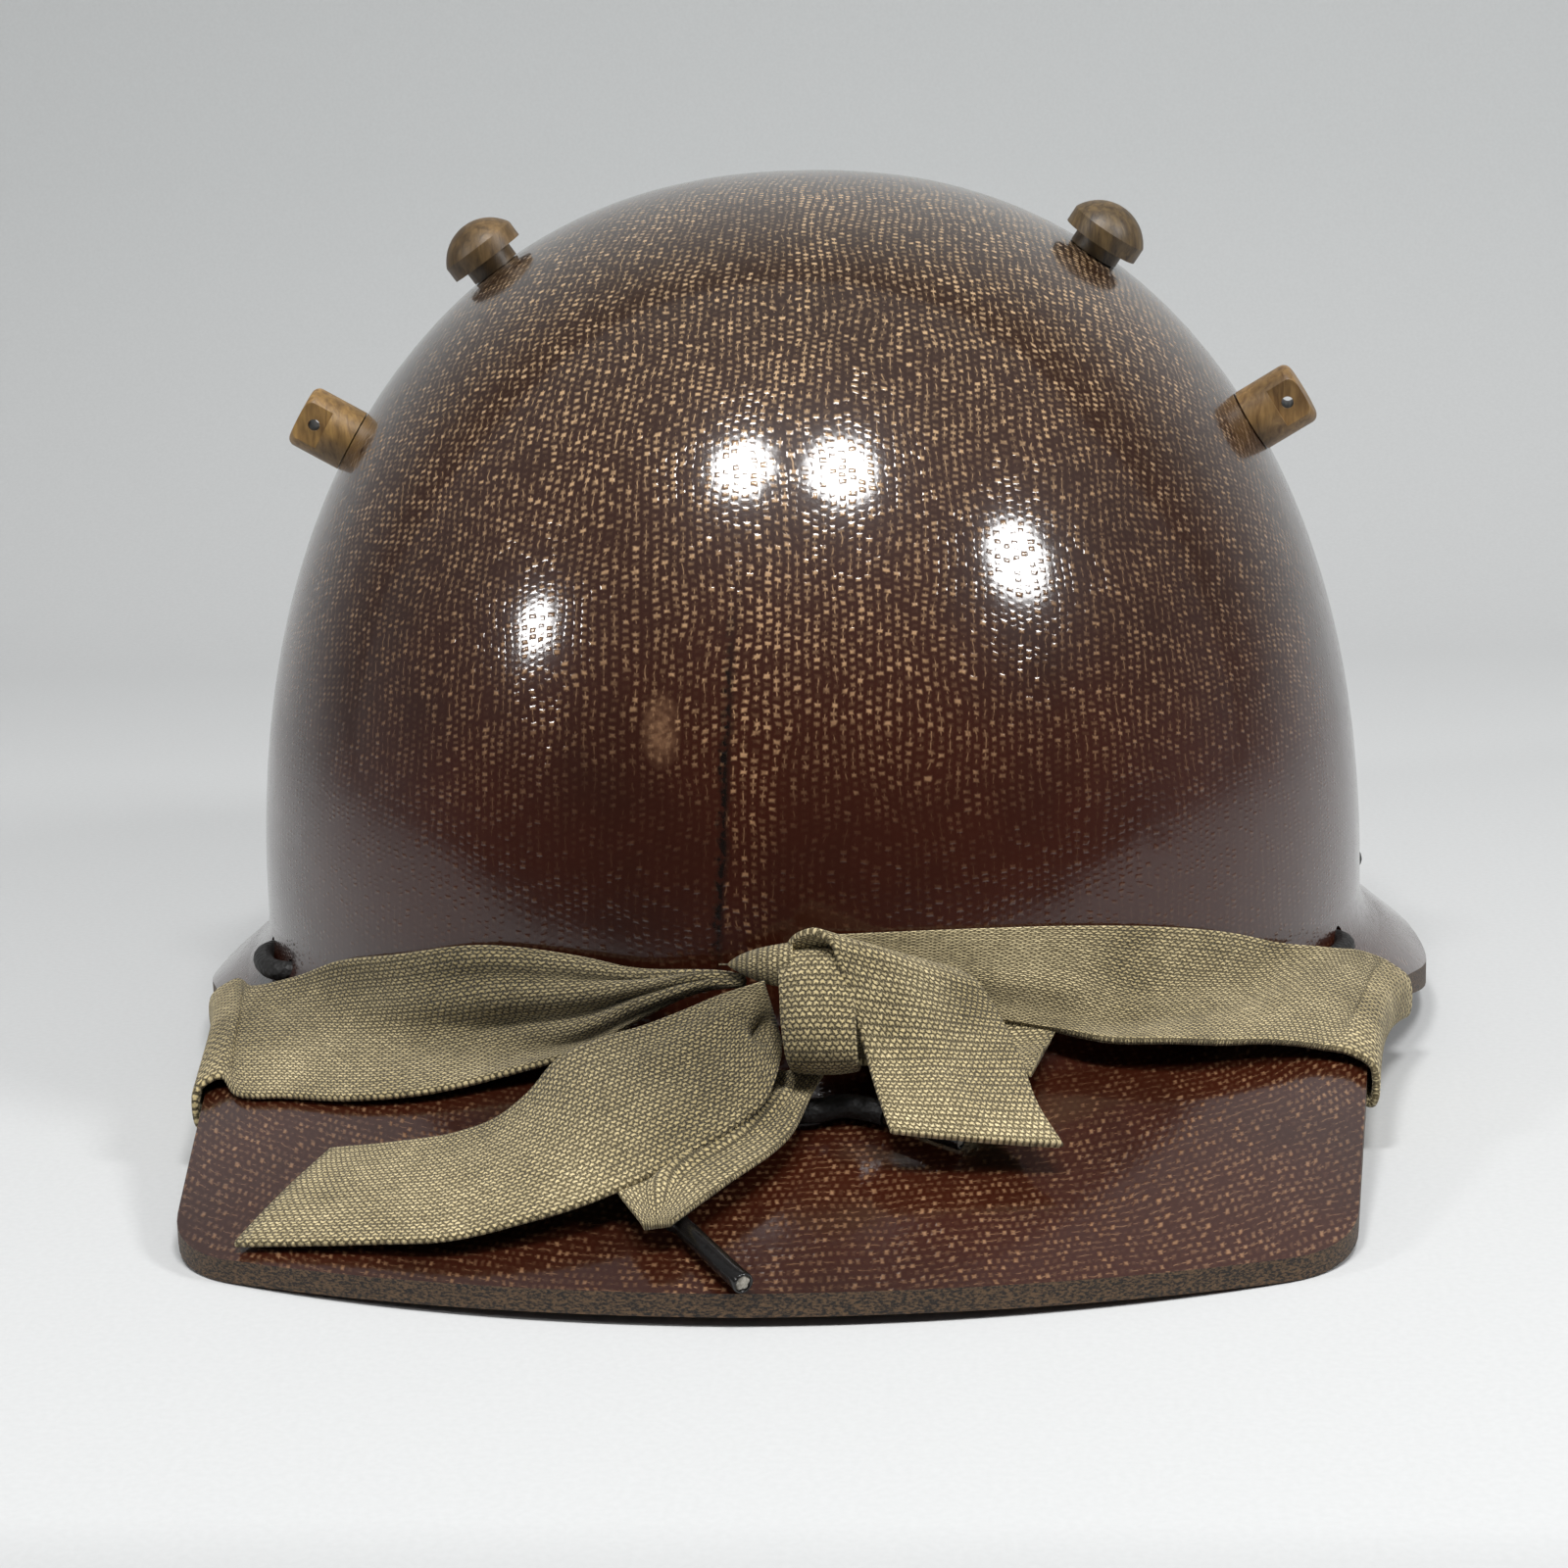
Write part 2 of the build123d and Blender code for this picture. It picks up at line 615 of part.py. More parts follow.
def build_band(upper_shares, lower_shares, rims, side):
    """Half of the strap: from the knot over the visor, round the rim and up to the headband."""
    rows = []
    for shares, rim, anchor in (
            (upper_shares, rims[0], anchor_back),
            (mean_shares(upper_shares, lower_shares), sum(rims) / 2, (anchor_back + anchor_front) / 2),
            (lower_shares, rims[1], anchor_front)):
        row = strap_points(shares) + rim_turn(rim)
        rows.append(row + anchor_points(anchor, side, row[-1]))
    return clear_of_knot(ribbon(rows, strap_steps))


def build_knot(grow=0):
    """Knot: a flattened wrap that leans back on the bowl, with the strap's fold beside its top."""
    lean = radians(knot_lean)
    middle = Plane((knot_across, -knot_forward, knot_level), x_dir=(1, 0, 0), z_dir=(0, sin(lean), cos(lean)))
    with BuildPart() as knot:
        for level, width, depth in zip(knot_level_shares, knot_width_shares, knot_depth_shares):
            with BuildSketch(middle.offset(level * (knot_height + 2 * grow))):
                wide = width * knot_width + 2 * grow
                deep = depth * knot_depth + 2 * grow
                RectangleRounded(wide, deep, deep * 0.45)
        loft(ruled=True)
    return knot.part


def clear_of_knot(strip):
    """The strip without what would lie inside the knot."""
    return max((strip - build_knot(knot_gap)).solids(), key=lambda solid: solid.volume)


def build_tail(upper_shares, lower_shares):
    middle_shares = mean_shares(upper_shares, lower_shares)
    rows = [strap_points(shares) for shares in (upper_shares, middle_shares, lower_shares)]
    return clear_of_knot(ribbon(rows, tail_steps))


# Free ends of the lace

def end_points(shares):
    """Points of a free end's middle line over the skin."""
    stand = lace / 2 + lace_end_gap
    return [skin_point(azimuth, along * visor_run, stand + lift * lace) for azimuth, along, lift in shares]


def corner_turns(points):
    """As large a radius at each corner as its two runs allow."""
    turns = []
    for before, corner, after in zip(points, points[1:], points[2:]):
        bend = radians((corner - before).get_angle(after - corner))
        turns.append(0.45 * min((corner - before).length, (after - corner).length) / tan(bend / 2))
    return turns


def build_lace_end(exit_azimuth, shares, aglet_shares):
    """Lace from its exit hole, first straight out and then down over the visor to its aglet."""
    leave = lace_point(exit_azimuth, 1)
    x, y, nx, ny = oval(exit_azimuth)
    start, towards = end_points(aglet_shares)
    back = (start - towards).normalized()
    middle = end_points(shares)
    last_run = (middle[-1] - start).length / 2
    points = [leave, leave + Vector(nx, ny, 0) * exit_run, *middle, start + back * last_run, start]
    turns = corner_turns(points)
    runs = [(b - a).length for a, b in zip(points, points[1:])]
    print("lace end runs", [round(run, 1) for run in runs], "radii", [round(turn, 1) for turn in turns])
    return tube(points, turns, lace)


def build_aglet(shares, length):
    """Bound tip: a round rod that meets the lace's end face to face, with the lace's core inside."""
    start, towards = end_points(shares)
    return Plane(start, z_dir=towards - start) * Cylinder(
        aglet / 2, length, align=(Align.CENTER, Align.CENTER, Align.MIN))


def model():
    """Every piece by its node's name, standing on z = 0 with its middle at the origin in plan."""
    planes = vent_planes()
    pieces = {
        "shell": build_shell(),
        "plug_upper_left": build_mushroom(planes["plug_upper_left"]),
        "plug_upper_right": build_mushroom(planes["plug_upper_right"]),
        "plug_lower_left": build_barrel(planes["plug_lower_left"]),
        "plug_lower_right": build_barrel(planes["plug_lower_right"]),
        "headband": build_headband(),
        "sweatband": build_sweatband(),
        "crown_cord": build_crown_cord(),
        "lace_run": build_lace_run(),
        "lace_end_left": build_lace_end(exit_left, lace_end_left_shares, aglet_left_shares),
        "lace_end_right": build_lace_end(exit_right, lace_end_right_shares, aglet_right_shares),
        "aglet_left": build_aglet(aglet_left_shares, aglet_length),
        "aglet_right": build_aglet(aglet_right_shares, aglet_short),
        "strap_knot": build_knot(),
        "strap_band_left": build_band(band_left_upper_shares, band_left_lower_shares, rim_left, -1),
        "strap_band_right": build_band(band_right_upper_shares, band_right_lower_shares, rim_right, 1),
        "strap_tail_left": build_tail(tail_left_upper_shares, tail_left_lower_shares),
        "strap_tail_right": build_tail(tail_right_left_shares, tail_right_right_shares),
        "strap_loop_low": build_tail(loop_low_left_shares, loop_low_right_shares),
        "strap_fold_right": build_tail(fold_right_upper_shares, fold_right_lower_shares),
    }
    for number, azimuth in enumerate(hanging_azimuths(), start=1):
        pieces[f"cradle_tape_{number}"] = build_tape(azimuth)
    place = Pos(0, (visor_reach - nape_reach) / 2, -pieces["shell"].bounding_box().min.Z)
    return {name: place * piece for name, piece in pieces.items()}


if __name__ == "__main__":
    os.makedirs("parts", exist_ok=True)
    for name, piece in model().items():
        export_step(piece, f"parts/{name}.step")
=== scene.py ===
from math import pi, radians

import bpy
import numpy as np
from mathutils import Matrix


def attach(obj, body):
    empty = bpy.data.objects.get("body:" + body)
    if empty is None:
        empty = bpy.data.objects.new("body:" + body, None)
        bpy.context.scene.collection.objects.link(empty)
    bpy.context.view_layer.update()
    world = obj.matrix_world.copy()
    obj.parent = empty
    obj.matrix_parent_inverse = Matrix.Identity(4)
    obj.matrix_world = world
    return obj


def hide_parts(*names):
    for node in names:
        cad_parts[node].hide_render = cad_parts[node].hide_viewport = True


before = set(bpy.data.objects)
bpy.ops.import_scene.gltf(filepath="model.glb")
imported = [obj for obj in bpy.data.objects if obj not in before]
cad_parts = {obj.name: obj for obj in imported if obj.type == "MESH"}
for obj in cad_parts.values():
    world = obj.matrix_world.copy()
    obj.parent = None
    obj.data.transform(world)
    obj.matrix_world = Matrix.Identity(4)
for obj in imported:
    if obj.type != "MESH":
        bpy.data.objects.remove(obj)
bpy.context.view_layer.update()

# Lengths are in millimetres in the helmet's own frame, whose origin lies under the middle of the
# bowl; surface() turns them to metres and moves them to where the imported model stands.

# Shell: one laminate of canvas and resin, pressed hot in a mould, trimmed, drilled for the lace and
# the vent plugs, and lacquered. The solid stays; its finish shows the canvas under the lacquer.
bowl_half_width, bowl_half_length, crown_height, crown_power = 104.0, 120.0, 158.35, 2.24
foot_height, ear_drop, cove_radius, shell_wall = 28.35, 3.9, 10.0, 3.4
visor_slope, ear_slope, nape_slope, visor_run = 16.6, 39.2, 33.0, 53.5
frame_shift = np.array([0.0, 15.05, 0.22973])


def ease(value, start, end):
    """0 before start, 1 after end, and a smooth step between them."""
    t = np.clip((value - start) / (end - start), 0, 1)
    return t * t * (3 - 2 * t)


def oval(azimuth):
    """The bowl's foot in plan, x = a cos t and y = b sin t, and the ellipse's outward normal."""
    turn = np.radians(azimuth) - pi / 2
    x, y = bowl_half_width * np.cos(turn), bowl_half_length * np.sin(turn)
    nx, ny = bowl_half_length * np.cos(turn), bowl_half_width * np.sin(turn)
    size = np.hypot(nx, ny)
    return x, y, nx / size, ny / size


def foot_level(y):
    """Level of the bowl's foot: its front height, less the drop that is eased in towards the ears."""
    return foot_height - ear_drop * ease(y / bowl_half_length, -0.75, -0.0833)


def brim_slope(y):
    """Fall of the brim in radians: the visor's, eased into the ears' and then into the nape's."""
    backward = y / bowl_half_length
    to_ear = (ear_slope - visor_slope) * ease(backward, -0.6667, -0.1667)
    to_nape = (nape_slope - ear_slope) * ease(backward, 0.3333, 0.9333)
    return np.radians(visor_slope + to_ear + to_nape)


def skin_point(azimuth, along, off):
    """Points off the outer skin: a superellipse up the wall, then an arc and a straight brim."""
    x, y, nx, ny = oval(azimuth)
    foot, fall = foot_level(y), brim_slope(y)
    up, down = np.clip(-along, 0, None), np.clip(along, 0, None)
    around = (1 - (up / (crown_height - foot)) ** crown_power) ** (1 / crown_power)
    quarter = pi / 2 - fall
    turn = np.minimum(down / cove_radius, quarter)
    reach = np.clip(down - cove_radius * quarter, 0, None)
    out = cove_radius - (cove_radius - off) * np.cos(turn) + reach * np.cos(fall)
    drop = (cove_radius - off) * np.sin(turn) + reach * np.sin(fall)
    return np.stack([x * around + nx * out, y * around + ny * out, foot + up - drop], -1)


def colour(hex_code):
    """Linear colour of an sRGB hex code."""
    values = [int(hex_code[i:i + 2], 16) / 255 for i in (1, 3, 5)]
    return [v / 12.92 if v <= 0.04045 else ((v + 0.055) / 1.055) ** 2.4 for v in values] + [1.0]


def add(tree, kind, inputs=None, output=0, **settings):
    """A node of a material: its properties, and what each socket holds or is fed by."""
    new = tree.nodes.new("ShaderNode" + kind)
    for name, value in settings.items():
        setattr(new, name, value)
    for socket, value in (inputs or {}).items():
        if isinstance(value, bpy.types.NodeSocket):
            tree.links.new(value, new.inputs[socket])
        else:
            new.inputs[socket].default_value = value
    return new.outputs[output]


def finish(name):
    """An empty material with its tree, its Principled shader and its Object coordinates."""
    material = bpy.data.materials.new(name)
    material.use_nodes = True
    tree = material.node_tree
    return material, tree, tree.nodes["Principled BSDF"], add(tree, "TexCoord", output=3)


def dress(tree, tone, roughness, bump=None):
    """Feeds the shader its tone, its roughness and a bump of (strength, distance, height)."""
    shader = tree.nodes["Principled BSDF"]
    tree.links.new(tone, shader.inputs["Base Color"])
    shader.inputs["Roughness"].default_value = roughness
    if bump:
        raised = add(tree, "Bump", {"Strength": bump[0], "Distance": bump[1], "Height": bump[2]})
        tree.links.new(raised, shader.inputs["Normal"])


def mottled(name, scale, detail, low, high, roughness, bump=()):
    """A material whose tone runs with a noise, which a bump of (strength, distance) may raise."""
    material, tree, _, place = finish(name)
    noise = add(tree, "TexNoise", {"Vector": place, "Scale": scale, "Detail": detail})
    tone = add(tree, "Mix", {0: noise, 6: colour(low), 7: colour(high)}, **mixed)
    dress(tree, tone, roughness, (*bump, noise) if bump else None)
    return material


def shaken(tree, spot, place, scale, detail, size):
    """A spot moved by a noise, by up to half of the size each way."""
    noise = add(tree, "TexNoise", {"Vector": place, "Scale": scale, "Detail": detail}, output=1)
    centred = add(tree, "VectorMath", {0: noise, 1: (0.5, 0.5, 0.5)}, operation="SUBTRACT")
    push = add(tree, "VectorMath", {0: centred, 1: size}, operation="MULTIPLY")
    return add(tree, "VectorMath", {0: spot, 1: push}, operation="ADD")


mixed = {"output": 2, "data_type": "RGBA"}


# Canvas-phenolic laminate, hot pressed and lacquered: dark red-brown resin in which the canvas's
# tan threads show as dashes, 1.2 mm apart along a thread and 1.55 mm from thread to thread; the
# threads run up the bowl, and across the brim.
dash_pitch, thread_pitch = 0.00122, 0.00155
canvas_centre, foot_radius, over_radius = (0, 0.01505, 0.0286), 0.104, 0.118
oval_ratio, brim_start, edge_start = 0.8667, 0.1105, 0.1095
laminate, tree, shader, place = finish("canvas_phenolic_lacquered")
centred = add(tree, "VectorMath", {0: place, 1: canvas_centre}, operation="SUBTRACT")
x, y, z = add(tree, "SeparateXYZ", {0: centred}).node.outputs
flat = add(tree, "VectorMath", {0: centred, 1: (1, oval_ratio, 0)}, operation="MULTIPLY")
radius = add(tree, "VectorMath", {0: flat}, output=1, operation="LENGTH")
blend_radius = add(tree, "Math", {0: radius, 1: 0.35, 2: 0.0676}, operation="MULTIPLY_ADD")
sheet_radius = add(tree, "Math", {0: radius, 1: blend_radius}, operation="MAXIMUM")
across_sine = add(tree, "Math", {0: x, 1: sheet_radius}, operation="DIVIDE")
across_turn = add(tree, "Math", {0: across_sine}, operation="ARCSINE")
weft = add(tree, "Math", {0: across_turn, 1: foot_radius}, operation="MULTIPLY")
x_squared = add(tree, "Math", {0: x, 1: x}, operation="MULTIPLY")
y_squared = add(tree, "Math", {0: y, 1: y, 2: 0.0009}, operation="MULTIPLY_ADD")
side_ratio = add(tree, "Math", {0: x_squared, 1: y_squared}, operation="DIVIDE")
side_pull = add(tree, "Math", {0: side_ratio, 1: 0.3, 2: 1.0}, operation="MULTIPLY_ADD")
side_root = add(tree, "Math", {0: side_pull}, operation="SQRT")
minus_y = add(tree, "Math", {0: y, 1: -1.0}, operation="MULTIPLY")
forward = add(tree, "Math", {0: minus_y, 1: side_root}, operation="MULTIPLY")
over_turn = add(tree, "Math", {0: forward, 1: z}, operation="ARCTAN2")
over = add(tree, "Math", {0: over_turn, 1: over_radius}, operation="MULTIPLY")
past_foot = add(tree, "Math", {0: radius, 1: foot_radius}, operation="SUBTRACT")
brim_reach = add(tree, "Math", {0: past_foot, 1: 0.0}, operation="MAXIMUM")
forward_sign = add(tree, "Math", {0: forward, 1: 0.02}, operation="DIVIDE")
forward_side = add(tree, "Math", {0: forward_sign}, operation="TANH")
warp = add(tree, "Math", {0: brim_reach, 1: forward_side, 2: over}, operation="MULTIPLY_ADD")
wall_cloth = add(tree, "CombineXYZ", {0: warp, 1: weft})
brim_cloth = add(tree, "CombineXYZ", {0: x, 1: warp})
on_brim = add(tree, "Math", {0: radius, 1: brim_start}, operation="GREATER_THAN")
cloth = add(tree, "Mix", {0: on_brim, 4: wall_cloth, 5: brim_cloth}, output=1, data_type="VECTOR")
# The canvas was laid by hand: its threads wander by up to 3 mm and wave by less than half of one.
cloth_bent = shaken(tree, cloth, place, 38.0, 2.0, (0.006, 0.006, 0))
cloth_laid = shaken(tree, cloth_bent, place, 520.0, 1.0, (0.0007, 0.0009, 0))
dashes = add(tree, "TexBrick", {
    "Vector": cloth_laid, "Color1": (1, 1, 1, 1), "Color2": (0.25, 0.25, 0.25, 1),
    "Mortar": (0, 0, 0, 1), "Scale": 1.0, "Mortar Size": 0.0005, "Mortar Smooth": 1.0, "Bias": -0.1,
    "Brick Width": dash_pitch, "Row Height": thread_pitch}, offset=0.5)
dash_peak = add(tree, "Math", {0: dashes, 1: 2.8}, operation="POWER")
thread_lines = add(tree, "TexWave", {"Vector": cloth_laid, "Scale": pi / 10 / thread_pitch},
                   output=1, bands_direction="Y")
lines_power = add(tree, "Math", {0: thread_lines, 1: 22.0}, operation="POWER")
# A dark crease runs down the front where two sheets of the canvas overlap: 98 to 34 mm up.
drift = add(tree, "TexNoise", {"Vector": place, "Scale": 17.0, "Detail": 4.0, "Roughness": 0.55})
fleck = add(tree, "TexNoise", {"Vector": place, "Scale": 900.0, "Detail": 2.0})
at = add(tree, "SeparateXYZ", {0: place}).node.outputs
crease_bend = add(tree, "Math", {0: at[2], 1: 0.094, 2: -0.0114}, operation="MULTIPLY_ADD")
crease_off = add(tree, "Math", {0: at[0], 1: crease_bend}, operation="SUBTRACT")
crease_sway = add(tree, "Math", {0: fleck, 1: 0.0022, 2: crease_off}, operation="MULTIPLY_ADD")
crease_wave = add(tree, "Math", {0: drift, 1: 0.010, 2: crease_sway}, operation="MULTIPLY_ADD")
crease_side = add(tree, "Math", {0: crease_wave, 1: 0.0061}, operation="SUBTRACT")
crease_far = add(tree, "Math", {0: crease_side}, operation="ABSOLUTE")
crease_line = add(tree, "MapRange", {"Value": crease_far, "From Min": 0.0012, "From Max": 0.0001})
crease_low = add(tree, "MapRange", {"Value": at[2], "From Min": 0.034, "From Max": 0.044})
crease_high = add(tree, "MapRange", {"Value": at[2], "From Min": 0.098, "From Max": 0.078})
crease_front = add(tree, "Math", {0: at[1], 1: -0.02}, operation="LESS_THAN")
crease_run = add(tree, "Math", {0: crease_low, 1: crease_high}, operation="MULTIPLY")
crease_seen = add(tree, "Math", {0: crease_run, 1: crease_front}, operation="MULTIPLY")
crease_mask = add(tree, "Math", {0: crease_line, 1: crease_seen}, operation="MULTIPLY")
# How near the surface the canvas lies: near it above mid height and in drifting patches, deep in
# the resin below, but for a strip of the overlap to the right of the crease.
lap_start = add(tree, "MapRange", {"Value": crease_side, "From Min": 0.0004, "From Max": 0.0014})
lap_end = add(tree, "MapRange", {"Value": crease_side, "From Min": 0.0092, "From Max": 0.0062,
                                 "To Max": 0.55})
lap_strip = add(tree, "Math", {0: lap_start, 1: lap_end}, operation="MULTIPLY")
lap = add(tree, "Math", {0: lap_strip, 1: crease_front}, operation="MULTIPLY")
level_bent = add(tree, "Math", {0: drift, 1: 0.06, 2: z}, operation="MULTIPLY_ADD")
mid_height = add(tree, "MapRange", {"Value": level_bent, "From Min": 0.061, "From Max": 0.079,
                                    "To Min": 0.13, "To Max": 0.70})
height = add(tree, "MapRange", {"Value": z, "From Min": 0.03, "From Max": 0.118})
crown_height_share = add(tree, "Math", {0: height, 1: 0.45, 2: mid_height}, operation="MULTIPLY_ADD")
visor = add(tree, "MapRange", {"Value": radius, "From Min": 0.106, "From Max": 0.122, "To Max": 0.55})
near_visor = add(tree, "Math", {0: crown_height_share, 1: visor}, operation="ADD")
nearness = add(tree, "Math", {0: near_visor, 1: lap}, operation="ADD")
drift_gain = add(tree, "MapRange", {"Value": drift, "From Min": 0.3, "From Max": 0.68,
                                    "To Min": 0.35, "To Max": 1.25})
shown = add(tree, "Math", {0: nearness, 1: drift_gain}, operation="MULTIPLY")
fleck_gain = add(tree, "MapRange", {"Value": fleck, "From Min": 0.35, "From Max": 0.62,
                                    "To Min": 0.45, "To Max": 1.25})
dash_light = add(tree, "Math", {0: dash_peak, 1: fleck_gain}, operation="MULTIPLY")
line_break = add(tree, "MapRange", {"Value": fleck, "From Min": 0.47, "From Max": 0.6, "To Max": 0.75})
line_light = add(tree, "Math", {0: lines_power, 1: line_break}, operation="MULTIPLY")
thread_light = add(tree, "Math", {0: dash_light, 1: line_light}, operation="MAXIMUM")
thread_mask = add(tree, "Math", {0: thread_light, 1: shown}, operation="MULTIPLY", use_clamp=True)
# Resin and threads are painted darker towards the bottom of the bowl and lighter towards the crown: painted
# shade and light from the lamps above, laid over their own tones.
resin_low = add(tree, "Mix", {0: drift_gain, 6: colour("#180803"), 7: colour("#351307")}, **mixed)
resin = add(tree, "Mix", {0: height, 6: resin_low, 7: colour("#2C1C13")}, **mixed)
thread_tone = add(tree, "Mix", {0: height, 6: colour("#9C7656"), 7: colour("#BFA07A")}, **mixed)
woven_tone = add(tree, "Mix", {0: thread_mask, 6: resin, 7: thread_tone}, **mixed)
crease_break = add(tree, "Math", {0: crease_mask, 1: fleck_gain}, operation="MULTIPLY", use_clamp=True)
creased_tone = add(tree, "Mix", {0: crease_break, 6: woven_tone, 7: colour("#0E0603")}, **mixed)
# Beside it the canvas is rubbed bare in a small patch, and specks of dried paint dot the visor.
rub_off = add(tree, "VectorMath", {0: place, 1: (-0.0155, -0.0985, 0.0745)}, operation="SUBTRACT")
rub_shape = add(tree, "VectorMath", {0: rub_off, 1: (1.5, 0.6, 0.8)}, operation="MULTIPLY")
rub_far = add(tree, "VectorMath", {0: rub_shape}, output=1, operation="LENGTH")
rub_round = add(tree, "MapRange", {"Value": rub_far, "From Max": 0.0052, "To Min": 0.42, "To Max": 0.0})
rub_mask = add(tree, "Math", {0: rub_round, 1: fleck_gain}, operation="MULTIPLY", use_clamp=True)
rubbed_tone = add(tree, "Mix", {0: rub_mask, 6: creased_tone, 7: colour("#A47C5C")}, **mixed)
speck_cells = add(tree, "TexVoronoi", {"Vector": place, "Scale": 62.0})
speck_pick = add(tree, "SeparateXYZ", {0: speck_cells.node.outputs[1]}).node.outputs[0]
speck_some = add(tree, "Math", {0: speck_pick, 1: 0.30}, operation="LESS_THAN")
speck_dot = add(tree, "Math", {0: speck_cells, 1: 0.030}, operation="LESS_THAN")
speck_visor = add(tree, "Math", {0: at[1], 1: -0.118}, operation="LESS_THAN")
speck_here = add(tree, "Math", {0: speck_some, 1: speck_dot}, operation="MULTIPLY")
speck_mask = add(tree, "Math", {0: speck_here, 1: speck_visor}, operation="MULTIPLY")
skin_tone = add(tree, "Mix", {0: speck_mask, 6: rubbed_tone, 7: colour("#E9E4DC")}, **mixed)
dress(tree, skin_tone, 0.42)
bump = add(tree, "Bump", {"Strength": 0.30, "Distance": 0.00012, "Height": dash_light})
fine_bump = add(tree, "Bump", {"Strength": 0.10, "Distance": 0.0004, "Height": drift, "Normal": bump})
tree.links.new(fine_bump, shader.inputs["Normal"])
tree.links.new(fine_bump, shader.inputs["Coat Normal"])
shader.inputs["IOR"].default_value = 1.5
shader.inputs["Specular IOR Level"].default_value = 0.1
shader.inputs["Coat Weight"].default_value = 1.0
shader.inputs["Coat Roughness"].default_value = 0.10
# Cut edge of the brim, sawn and filed: bare laminate, tan and near-black in thin layers.
sawn, tree, _, place = finish("canvas_phenolic_sawn")
layered = add(tree, "VectorMath", {0: place, 1: (1.0, 1.0, 2.2)}, operation="MULTIPLY")
mottle = add(tree, "TexNoise", {"Vector": layered, "Scale": 1500.0, "Detail": 3.0, "Roughness": 0.65})
mottle_share = add(tree, "MapRange", {"Value": mottle, "From Min": 0.42, "From Max": 0.60})
sawn_tone = add(tree, "Mix", {0: mottle_share, 6: colour("#120B06"), 7: colour("#604931")}, **mixed)
dress(tree, sawn_tone, 0.6, (0.5, 0.0003, mottle))
# Bevel under that edge, rubbed down with fine paper: grey-green and even.
rubbed = mottled("canvas_phenolic_rubbed", 300.0, 3.0, "#4A493D", "#6C6A5A", 0.7)
# Which faces are the cut edge and which its bevel is told by how they face, outside the bowl's oval.
frame_shell = bpy.data.objects["shell"]
frame_shell.material_slots[0].material = laminate
frame_shell.data.materials.append(sawn)
frame_shell.data.materials.append(rubbed)
faces = frame_shell.data.polygons
centre, facing = np.empty(len(faces) * 3), np.empty(len(faces) * 3)
faces.foreach_get("center", centre)
faces.foreach_get("normal", facing)
centre, facing = centre.reshape(-1, 3) - [0, canvas_centre[1], 0], facing.reshape(-1, 3)
outward = (facing[:, :2] * centre[:, :2]).sum(1) / np.hypot(centre[:, 0], centre[:, 1])
past_oval = np.hypot(centre[:, 0], centre[:, 1] * oval_ratio) > edge_start
level_facing = 0.35
is_edge = past_oval & (outward > level_facing) & (facing[:, 2] < level_facing)
slot = np.where(is_edge, np.where(facing[:, 2] < -level_facing, 2, 1), 0)
faces.foreach_set("material_index", slot.astype(np.int32))

# Vent plugs: turned from a pale hardwood and pushed into four drilled vents, mushrooms near the
# crown and cross-drilled barrels below. Their solids stay; each gets its wood and its own grain.
for plug, light_tone, dark_tone, tilt in (
        ("plug_upper_left", "#7E6440", "#4C3A22", (0.0, -0.6, 0.0)),
        ("plug_upper_right", "#75603F", "#3B2D1E", (0.0, 0.6, 0.0)),
        ("plug_lower_left", "#A8854F", "#6E5230", (0.0, -1.05, 0.0)),
        ("plug_lower_right", "#9A7A4C", "#614628", (0.0, 1.05, 0.0))):
    wood, tree, _, place = finish("turned_hardwood_" + plug)
    along_plug = add(tree, "Mapping", {"Vector": place, "Rotation": tilt, "Scale": (1.0, 1.0, 0.16)})
    grain = add(tree, "TexNoise", {"Vector": along_plug, "Scale": 900.0, "Detail": 4.0, "Roughness": 0.6,
                                   "Distortion": 0.6})
    stain = add(tree, "TexNoise", {"Vector": place, "Scale": 130.0, "Detail": 3.0})
    grain_share = add(tree, "MapRange", {"Value": grain, "From Min": 0.3, "From Max": 0.7})
    stain_share = add(tree, "MapRange", {"Value": stain, "From Min": 0.35, "From Max": 0.65,
                                         "To Min": 0.55, "To Max": 1.1})
    grain_tone = add(tree, "Mix", {0: grain_share, 6: colour(light_tone), 7: colour(dark_tone)}, **mixed)
    wood_tone = add(tree, "Mix", {0: 1.0, 6: grain_tone, 7: stain_share}, blend_type="MULTIPLY", **mixed)
    dress(tree, wood_tone, 0.46, (0.35, 0.0002, grain))
    bpy.data.objects[plug].material_slots[0].material = wood

# Headband: cotton webbing in an oval ring, with a leather sweatband sewn inside it. The webbing
# has a fine rib and the leather a pebbled grain.
head_half_width, head_half_length = 79.0, 100.0
leather, leather_low, leather_high = 1.6, 11.0, 46.0
webbing, webbing_low, webbing_high = 1.8, 17.0, 45.0
sewn_gap = 0.2


def unit(vectors):
    """The vectors, each with its direction kept and its length brought to 1."""
    return vectors / np.linalg.norm(vectors, axis=-1, keepdims=True)


def grid(*parts):
    """A grid of points or of UVs from its coordinates, each spread over the whole grid."""
    return np.stack(np.broadcast_arrays(*parts), -1)


def placed(name, data):
    """An object that shows the data, put in the scene."""
    item = bpy.data.objects.new(name, data)
    bpy.context.scene.collection.objects.link(item)
    return item


